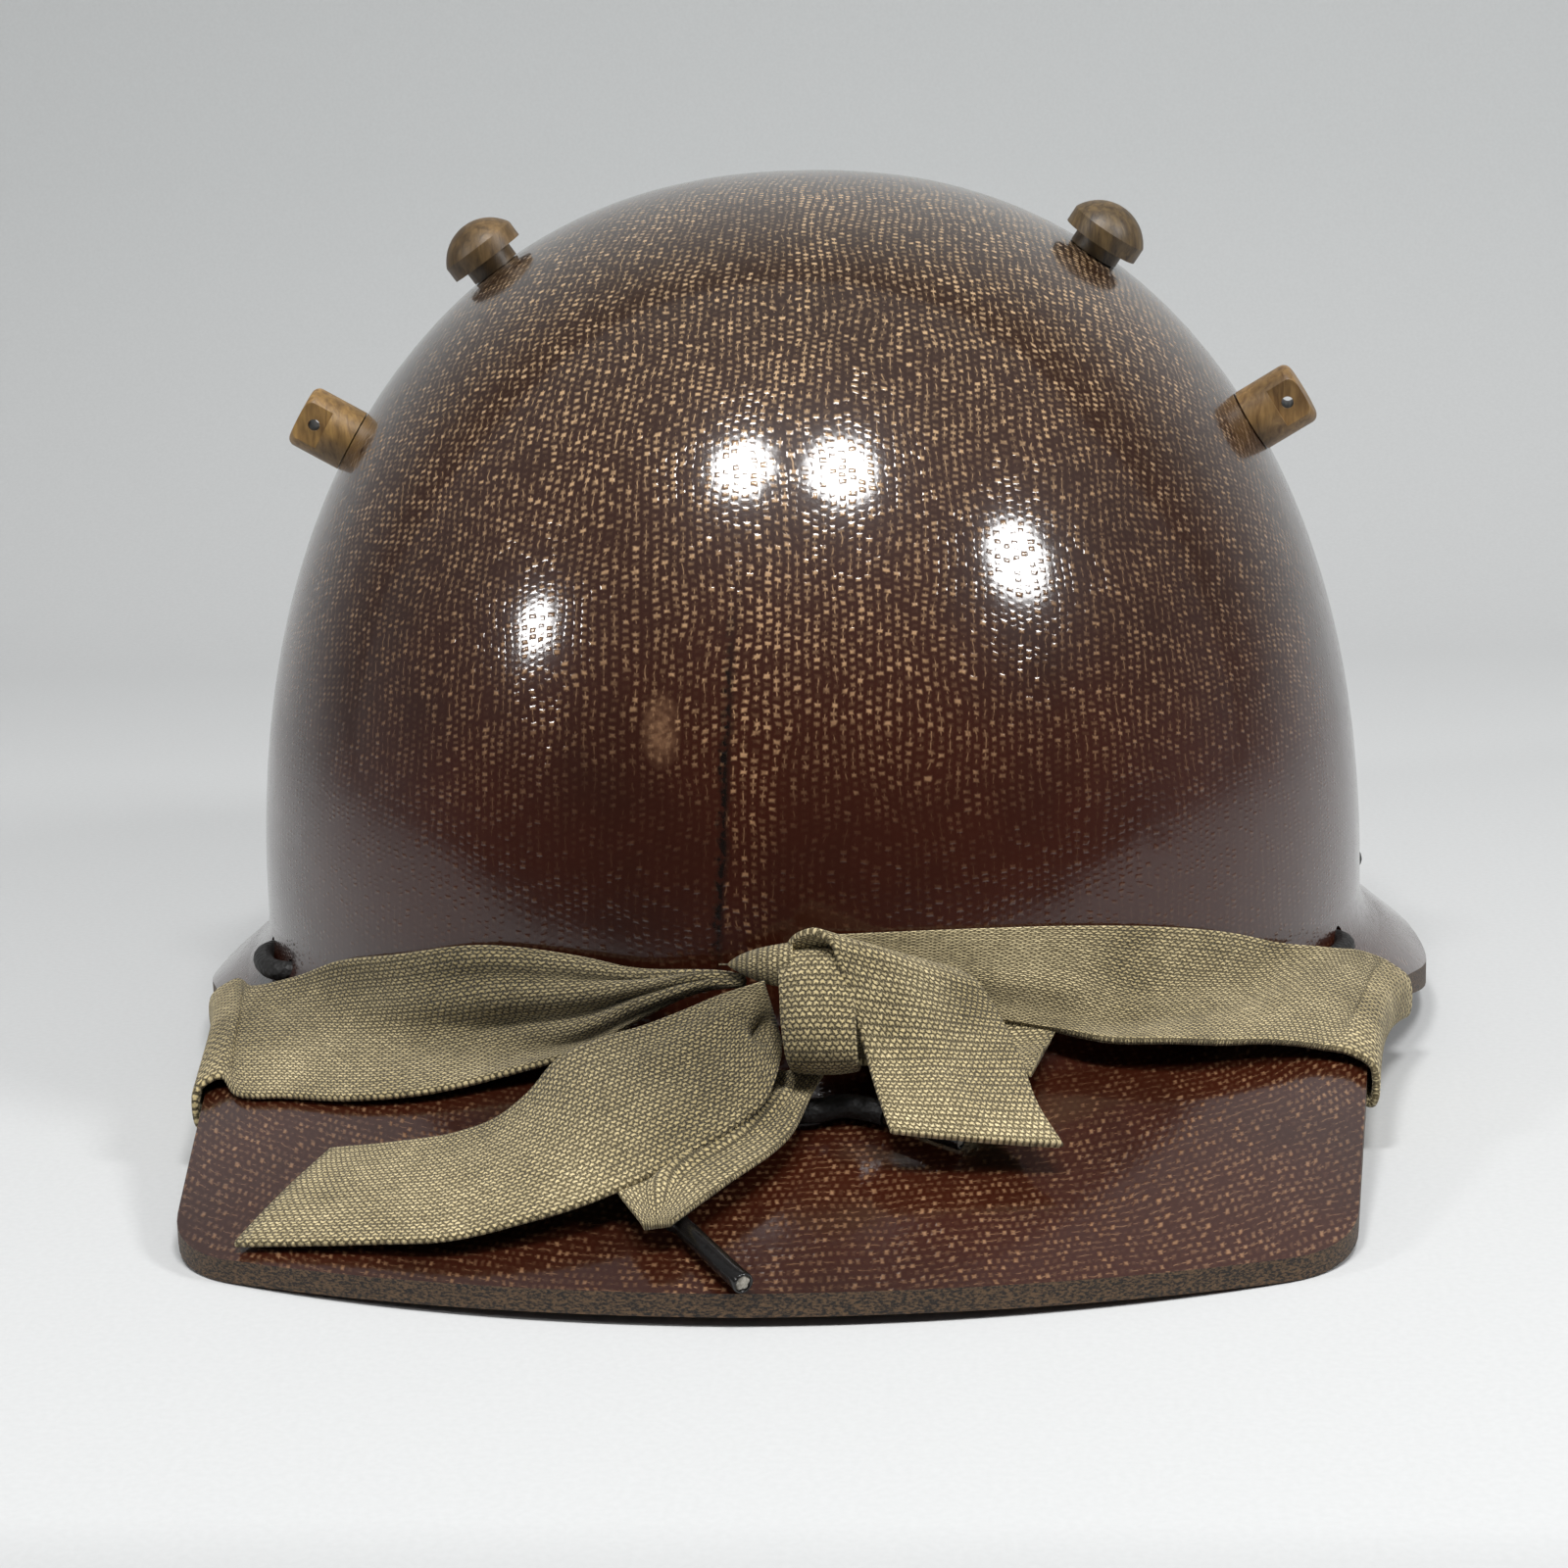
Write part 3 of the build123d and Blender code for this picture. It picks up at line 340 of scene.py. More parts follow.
def surface(name, points, uv, around=False, along=False, caps=False):
    """Mesh of a grid of points, closed round its rows or along them, with flat ends if asked."""
    rows, columns = points.shape[:2]
    i, j = np.meshgrid(np.arange(rows if along else rows - 1),
                       np.arange(columns if around else columns - 1), indexing="ij")
    i, j = i.ravel(), j.ravel()
    steps = ((0, 0), (0, 1), (1, 1), (1, 0))
    faces = np.stack([((i + a) % rows) * columns + (j + b) % columns for a, b in steps], 1).tolist()
    spots = np.stack([uv[i + a, j + b] for a, b in steps], 1).reshape(-1, 2)
    if caps:
        ends = np.arange(columns)
        faces += [ends[::-1].tolist(), (ends + (rows - 1) * columns).tolist()]
        spots = np.concatenate([spots, uv[0, :columns][::-1], uv[-1, :columns]])
    places = (points.reshape(-1, 3) + frame_shift) * 0.001
    # A closed shape whose signed volume is negative has its faces turned round.
    quads = np.array(faces[:len(i)])
    a, b, c, d = (places[quads[:, k]] for k in range(4))
    volume = (a * (np.cross(b, c) + np.cross(c, d))).sum()
    if volume < 0:
        faces = [face[::-1] for face in faces]
        size = len(i) * 4
        body = spots[:size].reshape(-1, 4, 2)[:, ::-1].reshape(-1, 2)
        spots = np.concatenate([body, spots[size:][:columns][::-1], spots[size:][columns:][::-1]])
    mesh = bpy.data.meshes.new(name)
    mesh.from_pydata(places.tolist(), [], faces)
    mesh.uv_layers.new(name="cloth").data.foreach_set("uv", (spots * 0.001).reshape(-1))
    mesh.shade_smooth()
    return placed(name, mesh)


def slab(middle, thickness, closed=False):
    """Strip round its middle surface (stations, across, 3): both faces, with half-round edges."""
    count = middle.shape[1]
    if closed:
        ahead = np.roll(middle, -1, 0) - np.roll(middle, 1, 0)
    else:
        ahead = np.gradient(middle, axis=0)
    normal = unit(np.cross(ahead, np.gradient(middle, axis=1)))
    width = np.linalg.norm(middle[:, -1] - middle[:, 0], axis=-1)
    across = -np.cos(np.linspace(0, pi, count))
    round_start = 1 - thickness / width.max()
    past = np.clip((np.abs(across) - round_start) / (1 - round_start), 0, 1)
    half = (thickness / 2 * np.sqrt(1 - past ** 2))[None, :, None] * normal
    loop = np.concatenate([middle + half, (middle - half)[:, -2:0:-1]], 1)
    run = np.concatenate([[0], np.linalg.norm(np.diff(middle[:, count // 2], axis=0), axis=-1).cumsum()])
    if closed:
        run = np.append(run, run[-1] + np.linalg.norm(middle[0, count // 2] - middle[-1, count // 2]))
    spots = (across + 1) / 2 * width.max()
    spots = np.concatenate([spots, spots[-2:0:-1], spots[:1]])
    return loop, grid(run[:, None], spots)


def ring_strip(half_width, half_length, thickness, low, high):
    """Upright oval ring of strip: its middle stands half its thickness outside the oval."""
    turn = np.linspace(0, 2 * pi, 181)[:-1, None]
    share = (1 - np.cos(np.linspace(0, pi, 15))) / 2
    x = (half_width + thickness / 2) * np.cos(turn)
    y = (half_length + thickness / 2) * np.sin(turn)
    return slab(grid(x, y, low + (high - low) * share), thickness, closed=True)


# Vegetable-tanned leather, cut and hand-darkened: a matt brown grain that wear has polished.
hide, tree, _, place = finish("vegetable_tanned_leather")
pebble = add(tree, "TexVoronoi", {"Vector": place, "Scale": 900.0}, feature="SMOOTH_F1")
sweat = add(tree, "TexNoise", {"Vector": place, "Scale": 30.0, "Detail": 4.0})
sweat_share = add(tree, "MapRange", {"Value": sweat, "From Min": 0.3, "From Max": 0.7})
hide_tone = add(tree, "Mix", {0: sweat_share, 6: colour("#5A3A24"), 7: colour("#8A6442")}, **mixed)
dress(tree, hide_tone, 0.55, (0.4, 0.0003, pebble))
# Cotton webbing, woven plain: off-white ribs 1.1 mm apart, greyed by use.
cotton, tree, shader, place = finish("cotton_webbing_woven")
ribs = add(tree, "TexBrick", {
    "Vector": add(tree, "TexCoord", output=2), "Color1": (1, 1, 1, 1), "Color2": (0.7, 0.7, 0.7, 1),
    "Mortar": (0.1, 0.1, 0.1, 1), "Scale": 1.0, "Mortar Size": 0.00018, "Mortar Smooth": 0.8,
    "Brick Width": 0.0021, "Row Height": 0.0011})
grime = add(tree, "TexNoise", {"Vector": place, "Scale": 45.0, "Detail": 3.0})
cotton_tone = add(tree, "Mix", {0: grime, 6: colour("#8F8670"), 7: colour("#C9BFA6")}, **mixed)
rib_shade = add(tree, "MapRange", {"Value": ribs, "To Min": 0.55, "To Max": 1.0})
cotton_shaded = add(tree, "Mix", {0: 1.0, 6: cotton_tone, 7: rib_shade}, blend_type="MULTIPLY", **mixed)
dress(tree, cotton_shaded, 0.88, (0.6, 0.0003, ribs))
shader.inputs["Sheen Weight"].default_value = 0.25

loop, uv = ring_strip(head_half_width, head_half_length, leather, leather_low, leather_high)
sweatband = surface("sweatband_leather", loop, uv, around=True, along=True)
sweatband.data.materials.append(hide)
inset = leather + sewn_gap
loop, uv = ring_strip(head_half_width + inset, head_half_length + inset, webbing, webbing_low, webbing_high)
headband = surface("headband_webbing", loop, uv, around=True, along=True)
headband.data.materials.append(cotton)
for piece, node, slot in ((sweatband, "sweatband", "leather"), (headband, "headband", "cotton_webbing")):
    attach(piece, "helmet")
    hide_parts(node)

# Lace run: a black waxed bootlace, threaded in and out of the foot of the bowl. It is fixed by
# passing through the drilled holes, and the cradle's tapes hang on its inside runs.
lace, lace_level, lace_gap, stitch_half = 3.7, 22.4, 0.35, 4.3
tape, loop_gap, loop_to_wall, tape_width = 1.2, 0.3, 1.8, 16.0
exit_left, exit_right, front_hang, side_stitches = -13.0, -4.0, 31.8, (59.0, 100.4, 141.1)


def azimuth_at(angle):
    """Azimuth of the oval's point that the axis sees at an angle in plan."""
    turn = np.radians(angle)
    azimuth = np.degrees(np.arctan2(np.sin(turn) / bowl_half_width, np.cos(turn) / bowl_half_length))
    return azimuth + 360 * np.round((angle - azimuth) / 360)


def lace_point(azimuth, side):
    """Middle of the lace at its level: it follows the cove's circle, inside or outside the wall."""
    x, y, nx, ny = oval(azimuth)
    stand = lace_gap if side > 0 else loop_gap + tape + loop_to_wall
    circle = cove_radius + (0 if side > 0 else shell_wall) - side * (stand + lace / 2)
    out = cove_radius - circle * np.cos(np.arcsin((foot_level(y) - lace_level) / circle))
    return np.array([x + nx * out, y + ny * out, lace_level])


stitches = np.array([*(-angle for angle in side_stitches), -180.0,
                     *(angle - 360 for angle in side_stitches[::-1])])
holes = [exit_left]
for middle in azimuth_at(stitches):
    holes += [middle + stitch_half, middle - stitch_half]
holes.append(exit_right - 360)
hangs = azimuth_at(np.array([-front_hang, *((stitches[1:] + stitches[:-1]) / 2), front_hang - 360]))
hang_points = [lace_point(azimuth, -1) for azimuth in hangs]
route = [lace_point(exit_left, 1)]
for number, hang in enumerate(hang_points):
    angle = np.arctan2(hang[1], hang[0])
    beside = np.array([-np.sin(angle), np.cos(angle), 0]) * (tape_width / 2 + lace)
    entry, leave = holes[2 * number], holes[2 * number + 1]
    route += [lace_point(entry, -1), hang + beside, hang - beside, lace_point(leave, -1),
              lace_point(leave, 1)]
    if number + 1 < len(hang_points):
        route.append(lace_point(holes[2 * number + 2], 1))


def laid_cord(name, route, width, closed=False, resolution=8):
    """Round cord: a NURBS curve of order 3 with the route's points as its control points."""
    curve = bpy.data.curves.new(name, "CURVE")
    curve.dimensions = "3D"
    spline = curve.splines.new("NURBS")
    spline.points.add(len(route) - 1)
    places = (np.array(route) + frame_shift) * 0.001
    spline.points.foreach_set("co", np.column_stack([places, np.ones(len(places))]).ravel())
    spline.order_u = 3
    spline.use_cyclic_u = closed
    spline.use_endpoint_u = not closed
    spline.resolution_u = resolution
    curve.bevel_depth = width * 0.0005
    curve.bevel_resolution = 5
    curve.use_fill_caps = not closed
    return placed(name, curve)


# Waxed cotton bootlace, braided: near-black, its braid raised and its fibres a shade lighter.
bootlace, tree, _, place = finish("waxed_cotton_bootlace")
braid = add(tree, "TexVoronoi", {"Vector": place, "Scale": 1300.0})
fuzz = add(tree, "TexNoise", {"Vector": place, "Scale": 3200.0, "Detail": 2.0})
lace_tone = add(tree, "Mix", {0: fuzz, 6: colour("#050505"), 7: colour("#1B1816")}, **mixed)
dress(tree, lace_tone, 0.58, (0.7, 0.0003, braid))

lace_run = laid_cord("lace_run_bootlace", route, lace)
lace_run.data.materials.append(bootlace)
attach(lace_run, "helmet")
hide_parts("lace_run")

# Crown cord: a thin cotton cord, tied in a ring through the tapes' top loops to set the depth.
crown_ring, crown_cord, cradle_height = 30.0, 3.0, 118.0
level = cradle_height - tape / 2 - loop_gap - crown_cord / 2
ring_route = []
for hang in hang_points:
    angle = np.arctan2(hang[1], hang[0])
    middle = np.array([crown_ring * np.cos(angle), crown_ring * np.sin(angle), level])
    beside = np.array([-np.sin(angle), np.cos(angle), 0]) * (tape_width / 2)
    ring_route += [middle + beside, middle - beside]
ring_cord = laid_cord("crown_cord_cotton", ring_route, crown_cord, closed=True)
ring_cord.data.materials.append(cotton)
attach(ring_cord, "helmet")
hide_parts("crown_cord")

# Cradle: eight cotton tapes, each looped on the lace and sewn back on itself, sewn to the
# headband and arched up to its loop on the crown cord.
tape_sewn_low, tail_end, tail_bend, crown_tail_bend = 35.0, 9.0, 3.0, 2.5
lace_loop_turns = np.radians([150, 190, 230, 270, 310, 350, 30, 70, 95])
crown_loop_turns = np.radians([120, 165, 210, 255, 290])


def headband_reach(angle, half_strip):
    """How far out of the axis the headband stands behind a flat strip that faces a plan angle."""
    grow = leather + sewn_gap + webbing
    wide, long = head_half_width + grow, head_half_length + grow
    along = (np.cos(angle) / wide) ** 2 + (np.sin(angle) / long) ** 2
    across = (np.sin(angle) / wide) ** 2 + (np.cos(angle) / long) ** 2
    slant = np.sin(angle) * np.cos(angle) * (1 / long ** 2 - 1 / wide ** 2)
    edge = np.array([-half_strip, 0, half_strip])
    root = (slant * edge) ** 2 - along * (across * edge ** 2 - 1)
    return ((np.sqrt(root) - slant * edge) / along).max()


def smooth(points, steps):
    """Cubic pieces through the stations, each tangent weighed by the runs on its two sides."""
    run = np.linalg.norm(np.diff(points, axis=0), axis=-1)[..., None]
    slope = np.diff(points, axis=0) / run
    inner = (slope[:-1] * run[1:] + slope[1:] * run[:-1]) / (run[1:] + run[:-1])
    tangent = np.concatenate([slope[:1], inner, slope[-1:]])[:, None]
    t = (np.arange(steps) / steps).reshape(1, steps, *([1] * (points.ndim - 1)))
    eased = t * t * (3 - 2 * t)
    start, end, pull = points[:-1, None], points[1:, None], run[:, None]
    curve = (start * (1 - eased) + end * eased + tangent[:-1] * pull * t * (1 - t) ** 2
             + tangent[1:] * pull * t * t * (t - 1))
    return np.concatenate([curve.reshape(-1, *points.shape[1:]), points[-1:]])


for number, hang in enumerate(hang_points, start=1):
    angle = np.arctan2(hang[1], hang[0])
    reach = np.hypot(hang[0], hang[1])
    stand = headband_reach(angle, tape_width / 2) + tape / 2 + loop_gap
    crown_turn = np.arccos(crown_ring / stand)
    rise = (cradle_height - webbing_high) / np.sin(crown_turn)
    lace_loop, cord_loop = lace / 2 + loop_gap + tape / 2, crown_cord / 2 + loop_gap + tape / 2
    lean = unit(np.array([stand - reach, tape_sewn_low - lace_level - lace_loop]))
    inner = np.array([reach - lace_loop * 0.9, lace_level + lace_loop * 0.5])
    loop_points = [(reach + lace_loop * np.cos(a), lace_level + lace_loop * np.sin(a))
                   for a in lace_loop_turns]
    arch = [(stand * np.cos(a), webbing_high + rise * np.sin(a)) for a in np.linspace(0, crown_turn, 12)]
    crown = np.array([crown_ring, cradle_height - cord_loop])
    crown_points = [(crown[0] + cord_loop * np.cos(a), crown[1] + cord_loop * np.sin(a))
                    for a in crown_loop_turns]
    back = unit(np.array(arch[-2]) - np.array(arch[-1]))
    under = crown + np.array([0.9, -0.75]) * cord_loop
    profile = np.array([
        inner + lean * tail_end, inner + lean * tail_bend, *loop_points, (stand, tape_sewn_low),
        *arch, *crown_points, under + back * crown_tail_bend, under + back * tail_end])
    out, up = np.moveaxis(smooth(profile, 4), -1, 0)[..., None]
    across = -np.cos(np.linspace(0, pi, 11)) * tape_width / 2
    middle = grid(out * np.cos(angle) + across * np.sin(angle),
                  out * np.sin(angle) - across * np.cos(angle), up)
    loop, uv = slab(middle, tape)
    piece = surface(f"cradle_tape_{number}_cotton", loop, uv, around=True, caps=True)
    piece.data.materials.append(cotton)
    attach(piece, "helmet")
    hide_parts(f"cradle_tape_{number}")

# Chin strap: khaki elastic webbing, sewn to the headband at each side, turned round the rim and
# tied over the root of the visor. Edges are tables of azimuth, share of the visor's run along the
# skin (below 0 up the wall) and share of the knot's depth off the skin.
elastic, strap_gap, knot_depth = 1.3, 0.35, 12.0
anchor_back, anchor_front, anchor_low, anchor_high = 90.0, 78.0, 21.0, 32.0
anchor_gap, strap_dip = 0.8, 3.0
strap_across = -np.cos(np.linspace(0, pi, 25))

# Elastic webbing, knitted of rubber cords under khaki cotton: wavy rows of stitches about 1 mm long
# and 0.8 mm apart, pale on their ridges and dark between them, both paler in drifting patches.
stitch_length, stitch_row = 0.00104, 0.00082
khaki, tree, shader, place = finish("elastic_webbing_khaki")
spot = add(tree, "TexCoord", output=2)
halves = add(tree, "SeparateXYZ", {0: spot}).node.outputs
zigzag = add(tree, "Math", {0: halves[1], 1: stitch_length / 2}, operation="PINGPONG")
wavy_row = add(tree, "Math", {0: zigzag, 1: 0.62, 2: halves[0]}, operation="MULTIPLY_ADD")
knit_spot = add(tree, "CombineXYZ", {0: halves[1], 1: wavy_row})
knit_laid = shaken(tree, knit_spot, spot, 2600.0, 2.0, (0.0007, 0.00062, 0))
knit = add(tree, "TexBrick", {
    "Vector": knit_laid, "Color1": (1, 1, 1, 1), "Color2": (0.62, 0.62, 0.62, 1),
    "Mortar": (0, 0, 0, 1), "Scale": 1.0, "Mortar Size": 0.0003, "Mortar Smooth": 1.0,
    "Brick Width": stitch_length, "Row Height": stitch_row}, offset=0.5)
dirt = add(tree, "TexNoise", {"Vector": place, "Scale": 42.0, "Detail": 5.0, "Roughness": 0.6})
dirt_share = add(tree, "MapRange", {"Value": dirt, "From Min": 0.34, "From Max": 0.66})
# Left of the knot and more than 16 mm up (fully past 28 mm), the strap is painted darker, its ridges less
# pale than on the free ends.
at = add(tree, "SeparateXYZ", {0: place}).node.outputs
darker_side = add(tree, "MapRange", {"Value": at[0], "From Min": 0.014, "From Max": -0.004})
darker_level = add(tree, "MapRange", {"Value": at[2], "From Min": 0.016, "From Max": 0.028})
darker_patch = add(tree, "Math", {0: darker_side, 1: darker_level}, operation="MULTIPLY")
lighter_share = add(tree, "Math", {0: darker_patch, 1: -0.62, 2: 1.0}, operation="MULTIPLY_ADD")
dust_share = add(tree, "Math", {0: dirt_share, 1: lighter_share}, operation="MULTIPLY")
lighter_gain = add(tree, "MapRange", {"Value": lighter_share, "From Min": 0.38, "To Min": 0.72})
ridge_tone = add(tree, "Mix", {0: dust_share, 6: colour("#BDAA78"), 7: colour("#F2DFAE")}, **mixed)
gap_tone = add(tree, "Mix", {0: dust_share, 6: colour("#2C2411"), 7: colour("#625535")}, **mixed)
knit_tone = add(tree, "Mix", {0: knit, 6: gap_tone, 7: ridge_tone}, **mixed)
khaki_tone = add(tree, "Mix", {0: 1.0, 6: knit_tone, 7: lighter_gain}, blend_type="MULTIPLY", **mixed)
dress(tree, khaki_tone, 0.85, (0.85, 0.0005, knit))
shader.inputs["Sheen Weight"].default_value = 0.1


def strap_point(shares):
    """Point of the strap's middle surface, from a row of the tables."""
    off = elastic / 2 + strap_gap + shares[..., 2] * knot_depth
    return skin_point(shares[..., 0], shares[..., 1] * visor_run, off)


def spread(first, last):
    """From one edge's values to the other's, spread over the strap's width."""
    share = ((strap_across + 1) / 2)[None, :, None]
    return first[:, None] * (1 - share) + last[:, None] * share


def strap_stations(upper, lower):
    """Stations of a strap that follows the skin: the tables' shares run evenly across it."""
    return strap_point(spread(np.array(upper), np.array(lower)))


def hung_stations(upper, lower, bulge):
    """Stations of a free strap: straight from edge to edge, bulged out by a half sine."""
    flat = spread(strap_point(np.array(upper)), strap_point(np.array(lower)))
    out = np.array([0, -0.7, 0.7]) * bulge
    return flat + out * np.sin(pi * (strap_across + 1) / 2)[None, :, None]


def rim_stations(rims, rim_runs, side):
    """The strap's six stations round the rim, one on the way in and two on the headband."""
    share = (strap_across + 1) / 2
    azimuth = rims[0] + (rims[1] - rims[0]) * share
    along = np.polyval(np.polyfit([0, 0.5, 1], rim_runs, 2), share)
    _, y, nx, ny = oval(azimuth)
    fall = brim_slope(y)
    stand = elastic / 2 + 2 * strap_gap
    out = np.stack([nx, ny, 0 * nx], -1)
    up = np.array([0, 0, 1.0])
    top = skin_point(azimuth, along, 0)
    thick = (shell_wall / np.cos(fall))[:, None]
    under = along + shell_wall * np.tan(fall)
    turn = [
        skin_point(azimuth, along - shell_wall, 1.5 * stand),
        top + (out + up) * 0.9 * stand,
        top - up * thick / 2 + out * 1.3 * stand,
        top - up * (thick + 0.9 * stand) + out * 0.9 * stand,
        skin_point(azimuth, under - shell_wall, -shell_wall - 1.1 * stand),
        skin_point(azimuth, under - 2 * shell_wall, -shell_wall - stand - strap_dip)]
    grow = leather + sewn_gap + webbing + anchor_gap + elastic / 2
    angle = np.radians(anchor_back + (anchor_front - anchor_back) * share) - pi / 2
    ends = [np.stack([(head_half_width + grow) * np.cos(angle) * side,
                      (head_half_length + grow) * np.sin(angle), level + 0 * angle], -1)
            for level in (anchor_low, anchor_high)]
    dip = np.array([side, 0, -1.0]) * strap_dip
    return np.array(turn + [(turn[-1] + ends[0]) / 2 + dip, *ends])


def creased(middle, creases):
    """Middle surface with long creases: each is a ridge along a line in (station, across) shares."""
    rows, count = middle.shape[:2]
    s = np.linspace(0, 1, rows)[:, None]
    t = ((strap_across + 1) / 2)[None, :]
    lift = np.zeros((rows, count))
    for start, end, t_start, t_end, width, height in creases:
        line = t_start + (t_end - t_start) * np.clip((s - start) / (end - start), 0, 1)
        fade = ease(s, start - 0.02, start + 0.06) * (1 - ease(s, end - 0.25 * (end - start), end))
        lift += height * fade * np.exp(-((t - line) / width) ** 2)
    normal = unit(np.cross(np.gradient(middle, axis=0), np.gradient(middle, axis=1)))
    outward = np.sign(np.einsum("ijk,ijk->ij", normal, middle - np.array([0, 0, 20.0])))[..., None]
    return middle + normal * outward * lift[..., None]


def strap_piece(node, stations, creases, rows_across=False, stretch=1.0):
    """A strap through its stations, creased, with its UVs turned to run across if asked and divided by the
    stretch.
    """
    middle = creased(smooth(stations, 8), creases)
    loop, uv = slab(middle, elastic)
    uv = (uv if rows_across else uv[..., ::-1]) / stretch
    piece = surface(node + "_webbing", loop, uv, around=True, caps=True)
    piece.data.materials.append(khaki)
    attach(piece, "helmet")
    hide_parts(node)


strap_piece("strap_band_left", np.concatenate([
    strap_stations(
        ((-1.2, -0.189, 0.50), (-4.1, -0.187, 0.38), (-10.1, -0.18, 0.18), (-16.0, -0.20, 0.06),
         (-25.0, -0.20, 0.0), (-37.0, -0.11, 0.0), (-46.0, -0.03, 0.0), (-54.0, 0.09, 0.02),
         (-60.0, 0.215, 0.06)),
        ((-1.2, -0.163, 0.60), (-4.0, -0.145, 0.50), (-9.5, -0.05, 0.34), (-14.5, 0.11, 0.30),
         (-20.0, 0.25, 0.18), (-26.0, 0.39, 0.08), (-32.0, 0.49, 0.03), (-37.5, 0.55, 0.0),
         (-41.5, 0.61, 0.0))),
    rim_stations((-64.5, -44.5), (17.02, 21.94, 35.25), -1)]),
    ((0.0, 0.38, 0.40, 0.28, 0.09, 1.9), (0.0, 0.26, 0.78, 0.62, 0.08, 1.7),
     (0.02, 0.30, 0.15, 0.08, 0.06, 1.0), (0.0, 0.30, 0.58, 0.46, 0.05, -1.2)), stretch=1.3)
strap_piece("strap_band_right", np.concatenate([
    strap_stations(
        ((5.2, -0.28, 0.12), (18.5, -0.26, 0.0), (27.5, -0.23, 0.0), (36.0, -0.18, 0.0),
         (45.0, -0.10, 0.0), (52.0, -0.02, 0.1), (57.0, 0.05, 0.36), (61.5, 0.13, 0.34),
         (65.5, 0.19, 0.20)),
        ((5.2, -0.11, 0.20), (17.0, -0.02, 0.20), (23.5, 0.08, 0.24), (28.0, 0.25, 0.36),
         (32.5, 0.33, 0.40), (36.0, 0.37, 0.34), (39.5, 0.40, 0.28), (42.3, 0.43, 0.20),
         (44.6, 0.465, 0.12))),
    rim_stations((68.5, 46.5), (17.02, 19.56, 32.02), 1)]),
    ((0.0, 0.30, 0.6, 0.5, 0.12, 0.8),), stretch=1.3)
strap_piece("strap_tail_left", hung_stations(
    ((0.5, -0.198, 0.90), (-2.7, -0.161, 0.98), (-5.6, -0.114, 1.05), (-8.5, -0.069, 1.08),
     (-11.3, -0.031, 1.05), (-14.3, 0.387, 0.85), (-15.7, 0.488, 0.60), (-17.3, 0.553, 0.40),
     (-19.9, 0.594, 0.22), (-23.9, 0.647, 0.10), (-28.3, 0.723, 0.05)),
    ((1.4, 0.056, 0.80), (1.5, 0.354, 0.80), (0.7, 0.503, 0.66), (-1.4, 0.606, 0.54),
     (-4.0, 0.715, 0.46), (-6.7, 0.83, 0.40), (-9.1, 0.91, 0.34), (-12.0, 0.984, 0.27),
     (-15.2, 1.052, 0.18), (-20.1, 1.097, 0.09), (-27.4, 1.195, 0.02)), 0.8),
    ((0.0, 0.13, 0.62, 0.60, 0.14, -2.6), (0.06, 0.40, 0.22, 0.35, 0.10, 0.7)))
strap_piece("strap_tail_right", strap_stations(
    ((2.0, -0.281, 0.75), (2.8, -0.321, 0.85), (4.2, -0.341, 0.98), (5.4, -0.312, 1.12),
     (5.9, -0.253, 1.20), (7.6, 0.42, 0.95), (8.0, 0.526, 0.75), (8.5, 0.62, 0.52)),
    ((10.4, -0.17, 0.42), (12.7, -0.187, 0.46), (15.9, -0.163, 0.54), (17.2, -0.127, 0.60),
     (18.1, -0.071, 0.64), (18.9, 0.376, 0.62), (18.5, 0.561, 0.50), (18.9, 0.708, 0.36))),
    ((0.35, 1.0, 0.3, 0.45, 0.16, 0.6),), rows_across=True)
strap_piece("strap_loop_low", strap_stations(
    ((-0.2, 0.29, 0.45), (-1.0, 0.374, 0.43), (-4.5, 0.54, 0.37), (-8.0, 0.75, 0.345),
     (-5.2, 0.985, 0.335)),
    ((4.8, 0.29, 0.45), (4.0, 0.364, 0.43), (2.2, 0.59, 0.385), (-1.2, 0.79, 0.355),
     (-3.8, 0.965, 0.335))),
    ((0.25, 1.0, 0.62, 0.42, 0.07, 1.5),))
strap_piece("strap_fold_right", strap_stations(
    ((4.5, -0.04, 0.12), (12.0, -0.02, 0.10), (18.0, 0.0, 0.12), (25.6, 0.03, 0.14)),
    ((4.5, 0.20, 0.42), (11.0, 0.26, 0.42), (15.5, 0.33, 0.42), (19.7, 0.376, 0.42))),
    ())

# Knot: the strap's own turn, drawn tight and flattened against the bowl. A core holds the gathered
# ends, a flat wrap goes down over its front, and a pinched lobe stands at its upper left. The right
# tail leaves from behind its top.
knot_width, knot_height, knot_depth_out, knot_lean = 10.0, 19.0, 11.0, radians(33.0)
knot_middle = np.array([8.0, -131.6, 34.0])
knot_level_shares = (-0.5, -0.38, -0.12, 0.14, 0.36, 0.5)
knot_width_shares = (0.66, 0.92, 1.0, 0.96, 0.88, 0.6)
knot_depth_shares = (0.45, 0.88, 1.0, 1.0, 0.84, 0.45)
up_axis = np.array([0, np.sin(knot_lean), np.cos(knot_lean)])
out_axis = np.array([0, -np.cos(knot_lean), np.sin(knot_lean)])
right_axis = np.array([1.0, 0, 0])


def squared(wave, power):
    """A sine or cosine with its sign kept and its size raised to a power, for a squarer round."""
    return np.sign(wave) * np.abs(wave) ** power


def knot_point(right, up, out):
    """Points about the knot's middle, along its own three axes."""
    return knot_middle + right[..., None] * right_axis + up[..., None] * up_axis + out[..., None] * out_axis


